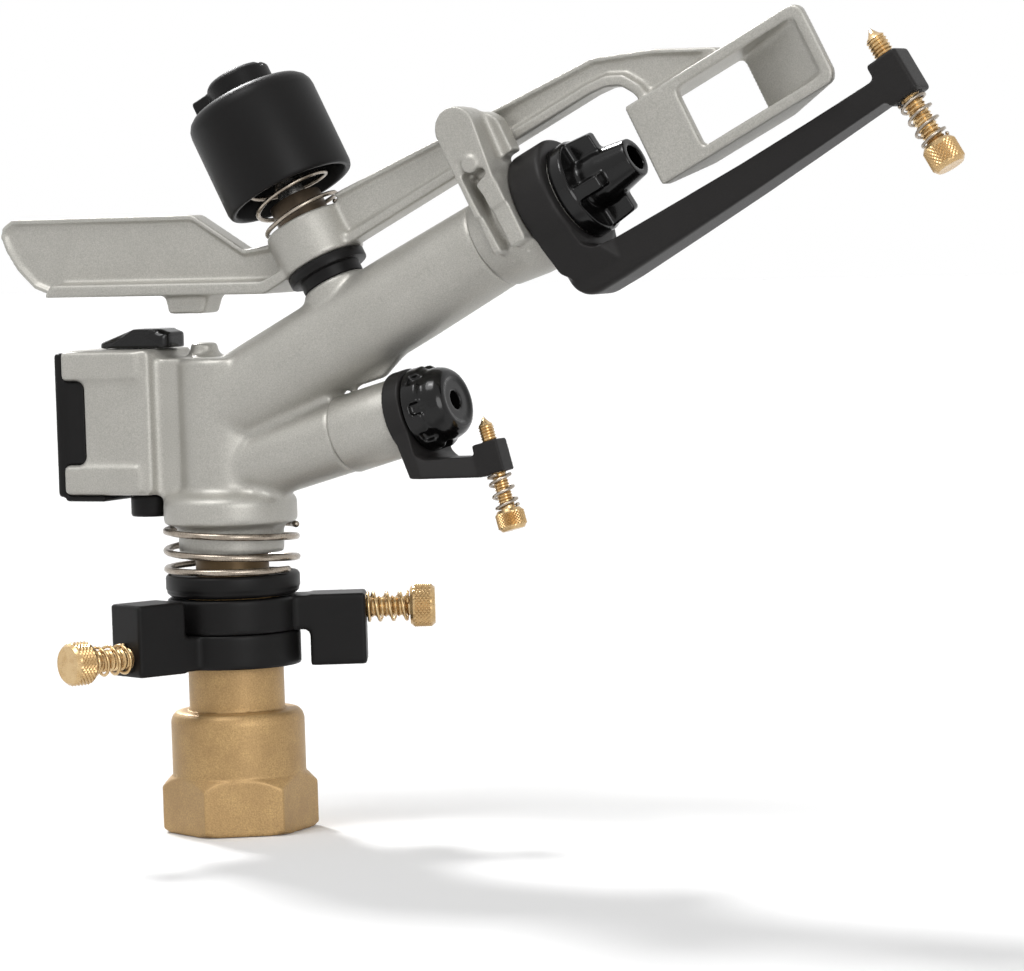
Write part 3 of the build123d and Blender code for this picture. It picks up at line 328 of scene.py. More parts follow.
# In each finish the third tone is for raised edges, wear and a painted highlight, and the fourth is painted shade for
# hollows.
finish_of("cast_aluminium", (0.33, 0.32, 0.29), (0.60, 0.585, 0.54), (0.78, 0.77, 0.73), (0.13, 0.12, 0.105),
          0.40, (0.32, 0.52), 0.34, 1.6, 14.0, 0.16, (0.35, 0.10), 0.45)
finish_of("blasted_brass", (0.34, 0.205, 0.085), (0.66, 0.44, 0.19), (0.82, 0.60, 0.30), (0.12, 0.075, 0.033),
          0.42, (0.36, 0.56), 0.42, 1.8, 8.0, 0.35, (0.45, 0.12), 0.35)
# A darker copy of the blasted brass: painted shade for the bearing tube, which sits in the spring's shadow.
finish_of("brass_in_painted_shade", (0.10, 0.062, 0.028), (0.20, 0.13, 0.06), (0.40, 0.28, 0.14), (0.05, 0.03, 0.014),
          0.6, (0.36, 0.50), 0.30, 1.0, 5.0, 0.30, (0.15, 0.05), 0.4)
finish_of("bright_brass", (0.40, 0.25, 0.11), (0.70, 0.49, 0.24), (0.85, 0.66, 0.38), (0.14, 0.085, 0.035),
          0.8, (0.20, 0.36), 0.25, 0.8, 5.0, 0.20, (0.15, 0.05), 0.6)
finish_of("black_moulding", (0.0045, 0.0042, 0.0042), (0.0085, 0.008, 0.008), (0.022, 0.021, 0.021),
          (0.002, 0.002, 0.002), 0.0, (0.34, 0.52), 0.30, 1.0, 12.0, 0.3, (0.20, 0.06), 0.35, specular=0.16)
finish_of("glossy_moulding", (0.003, 0.003, 0.003), (0.006, 0.0055, 0.0055), (0.02, 0.02, 0.02),
          (0.0015, 0.0015, 0.0015), 0.0, (0.12, 0.20), 0.35, 0.8, 9.0, 0.3, (0.08, 0.05), 0.3, specular=0.30)
finish_of("lever_coat", (0.012, 0.011, 0.011), (0.022, 0.0205, 0.020), (0.05, 0.047, 0.045),
          (0.004, 0.004, 0.004), 0.0, (0.38, 0.54), 0.28, 1.2, 16.0, 0.3, (0.30, 0.07), 0.3, specular=0.20)
finish_of("spring_wire", (0.20, 0.165, 0.13), (0.40, 0.345, 0.285), (0.62, 0.565, 0.49), (0.08, 0.06, 0.045),
          1.0, (0.20, 0.38), 0.30, 0.9, 4.0, 0.4, (0.15, 0.05), 0.5)
finish_of("turned_steel", (0.38, 0.375, 0.36), (0.66, 0.65, 0.63), (0.85, 0.84, 0.82), (0.15, 0.14, 0.13),
          1.0, (0.18, 0.32), 0.30, 0.7, 6.0, 0.2, (0.12, 0.04), 0.5)
finish_of("bush_bronze", (0.06, 0.045, 0.03), (0.12, 0.09, 0.065), (0.30, 0.22, 0.14), (0.03, 0.02, 0.012),
          0.85, (0.32, 0.50), 0.30, 1.0, 5.0, 0.3, (0.20, 0.05), 0.4)
finish_of("seal_rubber", (0.012, 0.012, 0.012), (0.024, 0.023, 0.022), (0.04, 0.04, 0.04), (0.006, 0.006, 0.006),
          0.0, (0.60, 0.80), 0.35, 1.0, 6.0, 0.2, (0.30, 0.08), 0.1)
print("finishes:", sorted(finishes))

# %% [markdown]
# Most of this object was drawn on a few slanted lines: the main barrel climbs at 27 degrees, the side
# barrel at 15.4, and the arm's pivot stands square to the main barrel. Each line gets a place, a matrix
# whose third axis runs along it, so a turned piece is drawn upright and then laid on its line.

# %% Places
barrel_angle, side_angle = radians(27.0), radians(15.4)
barrel_root, side_root = Vector((0, 0, 118.3)), Vector((0, 0, 100.2))
along_barrel = Vector((cos(barrel_angle), 0, sin(barrel_angle)))
up_barrel = Vector((-sin(barrel_angle), 0, cos(barrel_angle)))
along_side = Vector((cos(side_angle), 0, sin(side_angle)))
up_side = Vector((-sin(side_angle), 0, cos(side_angle)))
towards_viewer = Vector((0, -1, 0))
pivot_station, lever_end, spindle_x, cover_x = 48.0, 221.6, -25.6, -46.8


def place(origin, x_axis, z_axis):
    """A matrix with its first axis on x_axis and its third on z_axis."""
    x_axis, z_axis = Vector(x_axis).normalized(), Vector(z_axis).normalized()
    matrix = Matrix((x_axis, z_axis.cross(x_axis), z_axis)).transposed().to_4x4()
    matrix.translation = Vector(origin)
    return matrix


column = Matrix.Identity(4)
main_barrel = place(barrel_root, up_barrel, along_barrel)
side_barrel = place(side_root, up_side, along_side)
pivot = place(barrel_root + along_barrel * pivot_station, along_barrel, up_barrel)
barrel_side_view = place(barrel_root, along_barrel, towards_viewer)
side_side_view = place(side_root, along_side, towards_viewer)
upright_view = place((0, 0, 0), (1, 0, 0), towards_viewer)
spindle = Matrix.Translation((spindle_x, 0, 0))


def radial(azimuth, height):
    """Third axis straight out from the column."""
    out = Vector((cos(radians(azimuth)), sin(radians(azimuth)), 0))
    return place((0, 0, height), (0, 0, 1), out)


print("pivot at", [round(v, 1) for v in pivot.translation])

# %% [markdown]
# Five shapes make nearly everything: a turned solid, a slab cut from a side view, a bar, a wound coil
# and a screw thread. Each starts from a few vertices and one operator. Sharp edges are then bevelled,
# because a real edge always catches a thin line of light.

# %% Shape makers


def rounded(bm, edges, width, segments, clamp=True):
    """Bevel the given edges with a round profile."""
    bmesh.ops.bevel(bm, geom=edges, offset=width, offset_type="OFFSET", affect="EDGES", segments=segments,
                    profile=0.5, material=-1, clamp_overlap=clamp)


def soften(bm, width, segments=2, sharper_than=28):
    """Round every edge that turns by more than the given angle."""
    limit = radians(sharper_than)
    sharp = [e for e in bm.edges if e.is_manifold and abs(e.calc_face_angle(0)) > limit]
    if sharp and width:
        rounded(bm, sharp, width, segments)


def laid(bm, where_to):
    """Weld, turn the faces outwards and lay the shape in its place."""
    bmesh.ops.remove_doubles(bm, verts=bm.verts, dist=0.002)
    bmesh.ops.recalc_face_normals(bm, faces=bm.faces)
    bmesh.ops.transform(bm, matrix=where_to, verts=bm.verts)
    return bm


def turned(outline, where_to=column, soft=0.0, steps=96, closed=False, segments=2):
    """Spin an outline of (radius, height) pairs round the place's third axis."""
    bm = bmesh.new()
    line = [bm.verts.new((radius, 0, height)) for radius, height in outline]
    pairs = list(zip(line, line[1:])) + ([(line[-1], line[0])] if closed else [])
    edges = [bm.edges.new(pair) for pair in pairs]
    bmesh.ops.spin(bm, geom=line + edges, cent=(0, 0, 0), axis=(0, 0, 1), dvec=(0, 0, 0), angle=tau,
                   steps=steps, use_merge=True, use_duplicate=False)
    bmesh.ops.remove_doubles(bm, verts=bm.verts, dist=0.002)
    bmesh.ops.recalc_face_normals(bm, faces=bm.faces)
    soften(bm, soft, segments)
    return laid(bm, where_to)


def slab(outline, depth, where_to, rounds=None, soft=0.0, segments=2):
    """Cut an outline from a sheet of the given depth, and round chosen corners."""
    bm = bmesh.new()
    face = bm.faces.new([bm.verts.new((x, y, -depth / 2)) for x, y in outline])
    raised_part = bmesh.ops.extrude_face_region(bm, geom=[face])["geom"]
    lifted = [v for v in raised_part if isinstance(v, bmesh.types.BMVert)]
    bmesh.ops.translate(bm, verts=lifted, vec=(0, 0, depth))
    bmesh.ops.recalc_face_normals(bm, faces=bm.faces)
    for corner, radius in (rounds or {}).items():
        spot = Vector(outline[corner])
        edge = [e for e in bm.edges if all((v.co.xy - spot).length < 0.001 for v in e.verts)]
        rounded(bm, edge, radius, 8)
    soften(bm, soft, segments, sharper_than=40)
    return laid(bm, where_to)


def bar(x, y, z, where_to, soft=0.0, segments=2):
    """A block between pairs of numbers."""
    bm = bmesh.new()
    bmesh.ops.create_cube(bm, size=1.0)
    bmesh.ops.scale(bm, vec=(x[1] - x[0], y[1] - y[0], z[1] - z[0]), verts=bm.verts)
    bmesh.ops.translate(bm, vec=((x[0] + x[1]) / 2, (y[0] + y[1]) / 2, (z[0] + z[1]) / 2), verts=bm.verts)
    soften(bm, soft, segments)
    return laid(bm, where_to)


def rod(radius, low, high, where_to, soft=0.0, steps=64):
    return turned([(0, low), (radius, low), (radius, high), (0, high)], where_to, soft, steps)


def wound(outer, wire, low, high, turns, where_to, sides=10, steps=40, end_turns=0.7, hand=1):
    """Wind a round wire into a coil whose end turns lie almost closed; hand is -1 for a left-hand coil."""
    bm = bmesh.new()
    radius, start = (outer - wire) / 2, low + wire / 2
    section = Matrix.Translation((radius, 0, start)) @ Matrix.Rotation(pi / 2, 4, "X")
    ring = bmesh.ops.create_circle(bm, segments=sides, radius=wire / 2, matrix=section)["verts"]
    geometry = ring + list({e for v in ring for e in v.link_edges})
    end_rise = end_turns * wire * 0.6
    middle = (turns - 2 * end_turns, high - low - wire - 2 * end_rise)
    for part_turns, rise in ((end_turns, end_rise), middle, (end_turns, end_rise)):
        count = max(4, round(steps * part_turns))
        geometry = bmesh.ops.spin(bm, geom=geometry, cent=(0, 0, 0), axis=(0, 0, 1), dvec=(0, 0, rise / count),
                                  angle=hand * tau * part_turns, steps=count, use_merge=False,
                                  use_duplicate=False)["geom_last"]
    bmesh.ops.holes_fill(bm, edges=[e for e in bm.edges if e.is_boundary], sides=sides)
    return laid(bm, where_to)


def thread(radius, depth, pitch, low, high, where_to, steps=24):
    """A sharp ridge wound round a shank: depth is negative for a thread inside a bore."""
    bm = bmesh.new()
    half, root = pitch * 0.46, radius - depth * 0.3
    line = [bm.verts.new(c) for c in ((root, 0, -half), (radius + depth, 0, 0), (root, 0, half))]
    edges = [bm.edges.new(pair) for pair in zip(line, line[1:] + line[:1])]
    bmesh.ops.translate(bm, verts=bm.verts, vec=(0, 0, low + pitch / 2))
    count = round(steps * (high - low - pitch) / pitch)
    bmesh.ops.spin(bm, geom=line + edges, cent=(0, 0, 0), axis=(0, 0, 1), dvec=(0, 0, pitch / steps),
                   angle=tau * count / steps, steps=count, use_merge=False, use_duplicate=False)
    bmesh.ops.holes_fill(bm, edges=[e for e in bm.edges if e.is_boundary], sides=3)
    return laid(bm, where_to)


def knurled(radius, low, high, where_to, around=26, rows=5, tooth=0.34, edge=0.8):
    """A thumb-screw's head: a grid is poked and its first lines dissolved, which leaves diamonds."""
    bm = bmesh.new()
    step = (high - low - 2 * edge) / rows
    line = [bm.verts.new((radius - tooth, 0, low + edge + step * i)) for i in range(rows + 1)]
    edges = [bm.edges.new(pair) for pair in zip(line, line[1:])]
    bmesh.ops.spin(bm, geom=line + edges, cent=(0, 0, 0), axis=(0, 0, 1), dvec=(0, 0, 0), angle=tau,
                   steps=around, use_merge=True, use_duplicate=False)
    bmesh.ops.remove_doubles(bm, verts=bm.verts, dist=0.002)
    bmesh.ops.recalc_face_normals(bm, faces=bm.faces)
    grid = [e for e in bm.edges if not e.is_boundary]
    bmesh.ops.poke(bm, faces=bm.faces[:], offset=0.05)
    bmesh.ops.dissolve_edges(bm, edges=grid, use_verts=False)
    bmesh.ops.poke(bm, faces=[f for f in bm.faces if len(f.verts) == 4], offset=tooth)
    for end, height in ((low, low), (high, high)):
        border = [e for e in bm.edges if e.is_boundary and abs(e.verts[0].co.z - end) < edge * 1.5]
        moved = bmesh.ops.extrude_edge_only(bm, edges=border)["geom"]
        rim = [v for v in moved if isinstance(v, bmesh.types.BMVert)]
        shrink = (radius - tooth - edge * 0.8) / (radius - tooth)
        bmesh.ops.scale(bm, vec=(shrink, shrink, 1), verts=rim)
        bmesh.ops.translate(bm, vec=(0, 0, height - rim[0].co.z), verts=rim)
        bmesh.ops.holes_fill(bm, edges=[e for e in moved if isinstance(e, bmesh.types.BMEdge)], sides=0)
    return laid(bm, where_to)


print("shape makers ready")

# %% [markdown]
# Castings and mouldings are one skin, without the hard seams of overlapping solids. So their parts are
# laid into each other and fused by a voxel remesh, the way clay is smoothed over a frame. Pushing the
# skin out, remeshing and pulling it back by the same amount fills the inner corners with a fillet.

# %% Joining, cutting and fusing


def together(*parts):
    """All the given shapes in one mesh."""
    whole = bmesh.new()
    for part in parts:
        for shape in (part if isinstance(part, list) else [part]):
            carrier = bpy.data.meshes.new("carrier")
            shape.to_mesh(carrier)
            shape.free()
            whole.from_mesh(carrier)
            bpy.data.meshes.remove(carrier)
    return whole


def with_modifiers(bm, add_modifiers):
    """Put a shape on a passing object, let add_modifiers set its stack, and take the result back."""
    mesh = bpy.data.meshes.new("passing")
    bm.to_mesh(mesh)
    bm.free()
    passing = bpy.data.objects.new("passing", mesh)
    scene.collection.objects.link(passing)
    helpers = add_modifiers(passing) or []
    graph = bpy.context.evaluated_depsgraph_get()
    result = bpy.data.meshes.new_from_object(passing.evaluated_get(graph))
    back = bmesh.new()
    back.from_mesh(result)
    bpy.data.meshes.remove(result)
    for helper in [passing, *helpers]:
        data = helper.data
        bpy.data.objects.remove(helper)
        bpy.data.meshes.remove(data)
    return back


def cut(bm, tool, operation="DIFFERENCE"):
    """Cut one shape from another, or keep or add what they share."""
    def stack(passing):
        mesh = bpy.data.meshes.new("tool")
        tool.to_mesh(mesh)
        tool.free()
        cutter = bpy.data.objects.new("tool", mesh)
        scene.collection.objects.link(cutter)
        boolean = passing.modifiers.new("cut", "BOOLEAN")
        boolean.operation, boolean.solver, boolean.object = operation, "EXACT", cutter
        boolean.use_self = True
        return [cutter]
    return with_modifiers(bm, stack)


def fused(bm, voxel, fillet=0.0, smooth=3):
    """One skin over all the parts, with filled inner corners."""
    def stack(passing):
        def remesh():
            step = passing.modifiers.new("remesh", "REMESH")
            step.mode, step.voxel_size, step.adaptivity = "VOXEL", voxel, 0.0

        def push(distance):
            step = passing.modifiers.new("push", "DISPLACE")
            step.direction, step.strength, step.mid_level = "NORMAL", distance, 0.0

        remesh()
        if fillet:
            push(fillet)
            remesh()
            push(-fillet)
            remesh()
        ease = passing.modifiers.new("ease", "SMOOTH")
        ease.factor, ease.iterations = 0.5, smooth
    return with_modifiers(bm, stack)


pieces_made = []


def finished(bm, name, body, finish, nodes, smooth_angle=None, stretch=None):
    """Scale to metres, shade, name and hang the piece on its body; with stretch given, the piece hangs on no body and
    its place is baked in, and the stretch's ends are not used.
    """
    bmesh.ops.scale(bm, vec=(0.001, 0.001, 0.001), verts=bm.verts)
    mesh = bpy.data.meshes.new(name)
    bm.to_mesh(mesh)
    bm.free()
    mesh.shade_smooth()
    if smooth_angle:
        mesh.set_sharp_from_angle(angle=radians(smooth_angle))
    mesh.materials.append(finishes[finish])
    piece = bpy.data.objects.new(name, mesh)
    scene.collection.objects.link(piece)
    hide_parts(*nodes)
    if stretch:
        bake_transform(piece)
    else:
        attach(piece, body)
    pieces_made.append(name)
    print(name, len(mesh.polygons), "faces")


print("makers ready")

# %% [markdown]
# The inlet coupling is a brass forging, turned where it has to be round. The hexagon's curved chamfers
# are what is left when a hexagonal bar meets a turning tool, so the bar is crossed with a double cone.
# Sand blasting has softened every corner, which the remesh does too.

# %% Inlet coupling
hexagon = bmesh.new()
bmesh.ops.create_circle(hexagon, segments=6, radius=19.0 / cos(pi / 6), cap_ends=True,
                        matrix=Matrix.Rotation(radians(4.5), 4, "Z"))
top = [v for v in bmesh.ops.extrude_face_region(hexagon, geom=hexagon.faces[:])["geom"]
       if isinstance(v, bmesh.types.BMVert)]
bmesh.ops.translate(hexagon, verts=top, vec=(0, 0, 15.5))
laid(hexagon, column)
cone = turned([(0, 0), (20.3, 0), (22.2, 1.2), (22.2, 12.4), (19.3, 15.5), (0, 15.5)], steps=120)
shank = turned([(0, 12), (18.75, 12), (18.75, 31.2), (18.2, 32.7), (17.2, 33.7), (15.9, 34), (14.2, 34),
                (13.9, 33.6), (13.4, 33.8), (13.4, 66.2), (0, 66.2)])
bore = turned([(0, -1), (15.15, -1), (15.15, 18), (14, 18), (14, 28), (10.36, 28), (10.36, 67), (0, 67)])
forging = cut(together(cut(hexagon, cone, "INTERSECT"), shank), bore)
coupling = fused(forging, 0.42, smooth=3)
pipe_thread = thread(15.2, -0.75, 2.309, 1.2, 16.5, column, steps=48)
finished(together(coupling, pipe_thread), "coupling_forging", "base", "blasted_brass",
         ["inlet_coupling"])

# %% [markdown]
# The tube carries the whole head. It shows only between the spring's turns, above the black washer.
# Its brass is darkened with painted shade, because it sits in the spring's shadow.

# %% Bearing tube, washers and body spring
finished(turned([(8.2, 22.88), (13.5, 22.88), (13.5, 25.48), (10.3, 25.48), (10.3, 99), (8.2, 99)],
                closed=True, soft=0.3), "bearing_tube_turned", "head", "brass_in_painted_shade", ["bearing_tube"], 35)
seat = turned([(10.7, 66.2), (17.4, 66.2), (18.5, 67.2), (18.5, 67.9), (18.8, 68.3), (18.8, 71.6), (18.2, 72.4),
               (16.6, 72.4), (16.2, 71.9), (11.2, 71.9), (10.7, 71.4)], closed=True, soft=0.25)
finished(seat, "seat_washer_moulding", "base", "black_moulding", ["spring_seat_washer"], 40)
body_coil = wound(38.4, 1.9, 72.5, 86.1, 2.9, column, sides=12, steps=64, end_turns=0.55, hand=-1)
finished(body_coil, "body_spring_wire", "head", "spring_wire", ["body_spring"])

# %% [markdown]
# Two black collars limit how far the head turns. Each is one moulding: a ring, an arm and a tab, with
# the inner corners filled. The thumb screws through the tabs are brass, held by a small spring each.

# %% Stop collars
screw_spring = 8.7


def collar_moulding(name, azimuth, low, screw_height):
    """A ring on the neck with an arm and a tab, drilled for its thumb screw."""
    out, high = radial(azimuth, 0), low + 9.6
    ring = turned([(13.46, low), (18.5, low), (18.5, high), (13.46, high)], closed=True, soft=0.4)
    arm = bar((low, high), (-7, 7), (15.2, 37.1), out, 0.5)
    tab = bar((46, 66), (-7, 7), (21.4, 37.1), out, 0.5)
    drill = rod(3.3, 20, 40, radial(azimuth, screw_height))
    shape = fused(cut(together(ring, arm, tab), drill), 0.42, fillet=0.8, smooth=2)
    finished(shape, name + "_collar_moulding", name + "_stop", "black_moulding",
             [name + "_stop_collar"])


def thumb_screw_turning(where_to, shank, tip, start, head, thick, thread_pitch):
    """A pointed threaded shank and a knurled head."""
    core = turned([(0, tip), (shank * 0.55, tip + shank * 0.8), (shank * 0.86, tip + shank * 1.1),
                   (shank * 0.86, start + 0.2), (0, start + 0.2)], where_to, steps=32)
    ridge = thread(shank * 0.86, shank * 0.14, thread_pitch, tip + shank, start, where_to)
    cap = knurled(head, start, start + thick, where_to)
    return together(core, ridge, cap)


for name, azimuth, low, screw_height in (("upper", 28.5, 56.12, 61.4), ("lower", 247.5, 46.4, 51.2)):
    collar_moulding(name, azimuth, low, screw_height)
    out = radial(azimuth, screw_height)
    finished(thumb_screw_turning(out, 3.1, 24.5, 49.5, 6.1, 7.0, 1.25), name + "_screw_turning",
             name + "_stop_screw", "bright_brass", [name + "_stop_screw"], 30)
    finished(wound(screw_spring, 0.9, 37.25, 49.35, 4.2, out, sides=8, steps=24), name + "_screw_spring_wire",
             name + "_stop", "bright_brass", [name + "_stop_spring"])

# %% [markdown]
# The body is the big casting: foot, column, two barrels, the thin web between them and the box for
# the reversing gear. A sand casting has no sharp inner corners, so the parts are fused with fillets.
# The box is hollow and open on its left, with one window in its front, as the cover needs.

# %% Body casting
foot = turned([(0, 78), (14.75, 78), (14.75, 86.2), (18.1, 86.2), (18.75, 87), (18.75, 92.6), (17.9, 93.9),
               (16.4, 94.7), (13.4, 95.4), (0, 95.4)])
trunk = turned([(0, 94), (13.2, 94), (13.2, 131.6), (12.2, 132.8), (0, 132.8)])
barrel = turned([(0, 0), (13.1, 0), (13.1, 67), (12.5, 98), (10.5, 98), (10.5, 110), (0, 110)], main_barrel)
side = turned([(0, 0), (10.4, 0), (10.4, 40.5), (8.2, 40.5), (8.2, 48.5), (0, 48.5)], side_barrel)


def in_upright_view(root, along, across, station, height):
    """A point of a slanted barrel's own drawing, carried over to the upright side view."""
    point = root + along * station + across * height
    return point.x, point.z


web_corners = [
    (side_root, along_side, up_side, 15.8, 0), (side_root, along_side, up_side, 36.5, 0),
    (side_root, along_side, up_side, 36.5, 11.9), (side_root, along_side, up_side, 56.6, 11.9),
    (barrel_root, along_barrel, up_barrel, 64, -11.25), (barrel_root, along_barrel, up_barrel, 15.8, 0),
]
web = slab([in_upright_view(*corner) for corner in web_corners], 3.0, upright_view)
boss = turned([(0, 0), (9.5, 0), (9.5, 13.7), (8.9, 14.3), (0, 14.3)], pivot)
top_boss = turned([(0, 128), (3.9, 128), (3.9, 136.2), (3.3, 136.8), (0, 136.8)],
                  Matrix.Translation((-9.3, 4, 0)), steps=32)
box = bar((cover_x, -18), (-12, 12), (94.6, 135.4), column)
right_edges = [e for e in box.edges if all(v.co.x > -18.1 for v in e.verts)]
rounded(box, right_edges, 1.6, 3, clamp=False)
pads = [bar((cover_x, -21.6), (-13.2, 13.2), heights, column, 0.5)
        for heights in ((95.0, 102.8), (127.2, 135.0))]
neck = bar((-19, -5), (-8.5, 8.5), (94.6, 132.8), column, 0.4)
hollow = [rod(10.35, 77, 99, column), bar((-48, -21.2), (-8.8, 8.8), (97.8, 132.2), column),
          bar((-48, -40.2), (-14.6, 0), (103.1, 126.9), column), rod(2.55, 90, 140, spindle, steps=32),
          rod(4.0, 9.9, 20, pivot, steps=32)]
casting = cut(together(foot, trunk, barrel, side, web, boss, top_boss, box, pads, neck), together(hollow))
finished(fused(casting, 0.62, fillet=1.3, smooth=3), "body_casting_skin", "head", "cast_aluminium",
         ["body_casting"])

# %% [markdown]
# The pivot stands square to the barrel: a steel pin pressed into its boss, a black bush on the boss,
# the arm's hub with its bronze bush, the return spring, and a deep cap that hides most of the spring.

# %% Pivot pin, bushes and return spring
finished(rod(4.0, 9.9, 76.5, pivot, 0.5), "pivot_pin_turned", "head", "turned_steel", ["pivot_pin"], 35)
thrust_bush = turned([(4.1, 14.3), (8.8, 14.3), (8.8, 17.4), (11.3, 17.4), (11.3, 20.3), (4.1, 20.3)], pivot, 0.4,
                     closed=True)
finished(thrust_bush, "pivot_bush_moulding", "head", "black_moulding", ["pivot_thrust_bush"], 40)
finished(turned([(4.1, 20.45), (7.5, 20.45), (7.5, 40.5), (4.1, 40.5)], pivot, 0.4, closed=True),
         "arm_bush_turned", "arm", "bush_bronze", ["arm_bush"], 35)
finished(wound(23.4, 1.3, 33.4, 59.8, 5.0, pivot, sides=10, steps=48), "arm_spring_wire", "head",
         "spring_wire", ["arm_spring"])

# %% [markdown]
# The cap is a satin black moulding with a well rounded top corner and a thin lip round its mouth. The
# knob on top has a finger lug on one side and a slot for a coin.

# %% Cap and knob
cap_outline = [(4.1, 72.6), (14.6, 72.6), (16.3, 72.1), (17.6, 71.0), (18.35, 69.6), (18.6, 68.0), (18.6, 44.2),
               (18.3, 43.0), (17.9, 42.6), (16.8, 42.6), (16.4, 43.4), (16.4, 60), (4.1, 60)]
finished(turned(cap_outline, pivot, 0.2, steps=128, closed=True), "cap_moulding", "tension_cap",
         "black_moulding", ["spring_cap"], 40)
finished(turned([(4.1, 72.6), (8.5, 72.6), (8.5, 73.5), (4.1, 73.5)], pivot, 0.2, closed=True), "knob_washer_bright",
         "tension_cap", "turned_steel", ["knob_washer"], 35)
knob = turned([(0, 73.5), (9.3, 73.5), (9.3, 78.5), (8.1, 79.7), (0, 79.7)], pivot)
lug = bar((-14.4, 0), (-4.5, 4.5), (73.5, 78.5), pivot, 0.6)
coin_slot = bar((-10, 10), (-1.2, 1.2), (78.1, 81), pivot)
knob = cut(together(knob, lug), together(coin_slot, rod(4.1, 70, 76.9, pivot)))
finished(fused(knob, 0.34, fillet=0.5, smooth=2), "knob_moulding", "tension_cap",
         "black_moulding", ["tension_knob"])

# %% [markdown]
# The head on the barrel's end is a second casting. Its lug is the anvil that the arm comes back to: a
# round-topped tongue towards the viewer, with a curved slot, a small boss and a lower panel on its face.

# %% Barrel head
head_skirt = turned([(10.5, 98), (12.9, 98), (14.5, 107.6), (14.6, 108.4), (14.6, 115.2), (14.2, 115.6), (12.8, 115.6),
                     (12.8, 126.6), (10.5, 126.6)], main_barrel, closed=True)


def across_barrel(low, high):
    """The sheet between two stations of the barrel, seen from its end: x is up, y towards the viewer."""
    return main_barrel @ Matrix.Translation((0, 0, (low + high) / 2))


def lug_layer(outline, low, high):
    """A sheet of the lug between two depths, drawn from the side: stations across, heights up."""
    return slab(outline, high - low, barrel_side_view @ Matrix.Translation((0, 0, (low + high) / 2)))


def round_top(middle, height, radius):
    """Points of a half circle, from its left end to its right."""
    return [(middle - radius * cos(radians(a)), height + radius * sin(radians(a))) for a in range(0, 181, 12)]


tongue = lug_layer([(105, 4)] + round_top(111.1, 28.0, 6.1) + [(115.3, 11.5), (116.2, 4)], 14.0, 19.5)
middle_layer = lug_layer([(105, 2)] + round_top(110.6, 28.6, 5.6) + [(115.4, 12), (118, 2)], 9.0, 16.0)
rear_layer = lug_layer([(106, 2)] + round_top(112.9, 24.8, 6.6) + [(119.5, 8), (119.5, 2)], 4.9, 10.2)
panel = lug_layer([(105.4, -6), (105.2, 11), (115.4, 11), (116.4, 2), (120.3, -5.6), (120.3, -7.0), (111, -7.6)],
                  6.0, 18.6)
left_plate = lug_layer([(104.9, -7), (104.9, 26), (107.0, 26), (107.2, 8), (108.2, -7)], 8.0, 18.4)
slot = lug_layer([(107.6, -8), (106.9, 6), (106.7, 20), (108.0, 20.6), (110.2, 8), (110.6, -8)], 12.6, 24)
under_boss = lug_layer([(108.6, 11.6), (108.4, 16), (113.4, 17.4), (113.9, 13.2)], 15.6, 24)
lug_boss = rod(2.4, 13, 20.4, barrel_side_view @ Matrix.Translation((110.8, 17.4, 0)), 0.4, steps=32)
ring_room = cut(turned([(12.8, 115.6), (21, 115.6), (21, 126.4), (12.8, 126.4)], main_barrel, closed=True),
                bar((-40, 16.8), (-40, 40), (115.6, 126.4), main_barrel), "INTERSECT")
lug = cut(together(tongue, middle_layer, rear_layer, panel, left_plate), together(slot, under_boss))
head_shape = together(head_skirt, cut(lug, ring_room), lug_boss)
inner_bore = rod(10.5, 97, 110, main_barrel)
finished(fused(cut(head_shape, inner_bore), 0.42, fillet=0.7, smooth=3), "barrel_head_skin", "head",
         "cast_aluminium", ["barrel_head"])

# %% [markdown]
# The nozzle is a glossy moulding: a flange, a tapered tube and four fins to turn it by.

# %% Main nozzle
nozzle = turned([(7.2, 119.6), (9, 119.6), (9, 126.6), (13.5, 126.6), (13.5, 130.7), (13.0, 131.2), (7.6, 131.2),
                 (7.3, 131.8), (7.3, 137), (5.5, 146.6), (3.5, 146.6)], main_barrel, closed=True)
fins = []
for number in range(4):
    around = main_barrel @ Matrix.Rotation(radians(15 + 90 * number), 4, "Z") @ Matrix.Rotation(pi / 2, 4, "X")
    fins.append(slab([(5.0, 130.8), (12.8, 130.8), (11.9, 139), (5.0, 139)], 3.6, around, {2: 0.8}))
finished(fused(together(nozzle, fins), 0.3, fillet=0.5, smooth=2), "main_nozzle_moulding", "head",
         "glossy_moulding", ["main_nozzle"])

# %% [markdown]
# The jet breaker's bracket is coated black: a ring clamped behind the nozzle, two cheeks that close in
# below it, and a long lever that is flat above and round below. The lever ends in a tilted block.

# %% Main breaker bracket
plan_view = place(barrel_root, along_barrel, up_barrel)
lever = slab([
    (115.6, 0), (115.6, -27.8), (131, -27.8), (153, -26.9), (175, -25.9), (198, -24.6), (lever_end, -23.2),
    (lever_end, -16.6), (198, -17.35), (175, -17.7), (150, -17.5), (126, -17.2), (126, 0),
], 14.0, barrel_side_view, {1: 7.0, 11: 2.2})
under = [e for e in lever.edges if all((barrel_side_view.inverted() @ v.co).y < -19.5 for v in e.verts)
         and abs((e.verts[0].co - e.verts[1].co).y) < 1 and abs(abs(e.verts[0].co.y) - 7) < 0.1]
rounded(lever, under, 4.4, 5)
taper = slab([(114, -7.0), (126, -7.0), (223, -4.7), (223, 4.7), (126, 7.0), (114, 7.0)], 90, plan_view)
lever = cut(lever, taper, "INTERSECT")
cheeks = slab([(-10, 13.4), (-23.4, 7), (-23.4, -7), (-10, -13.4)], 17.4, across_barrel(115.6, 133))
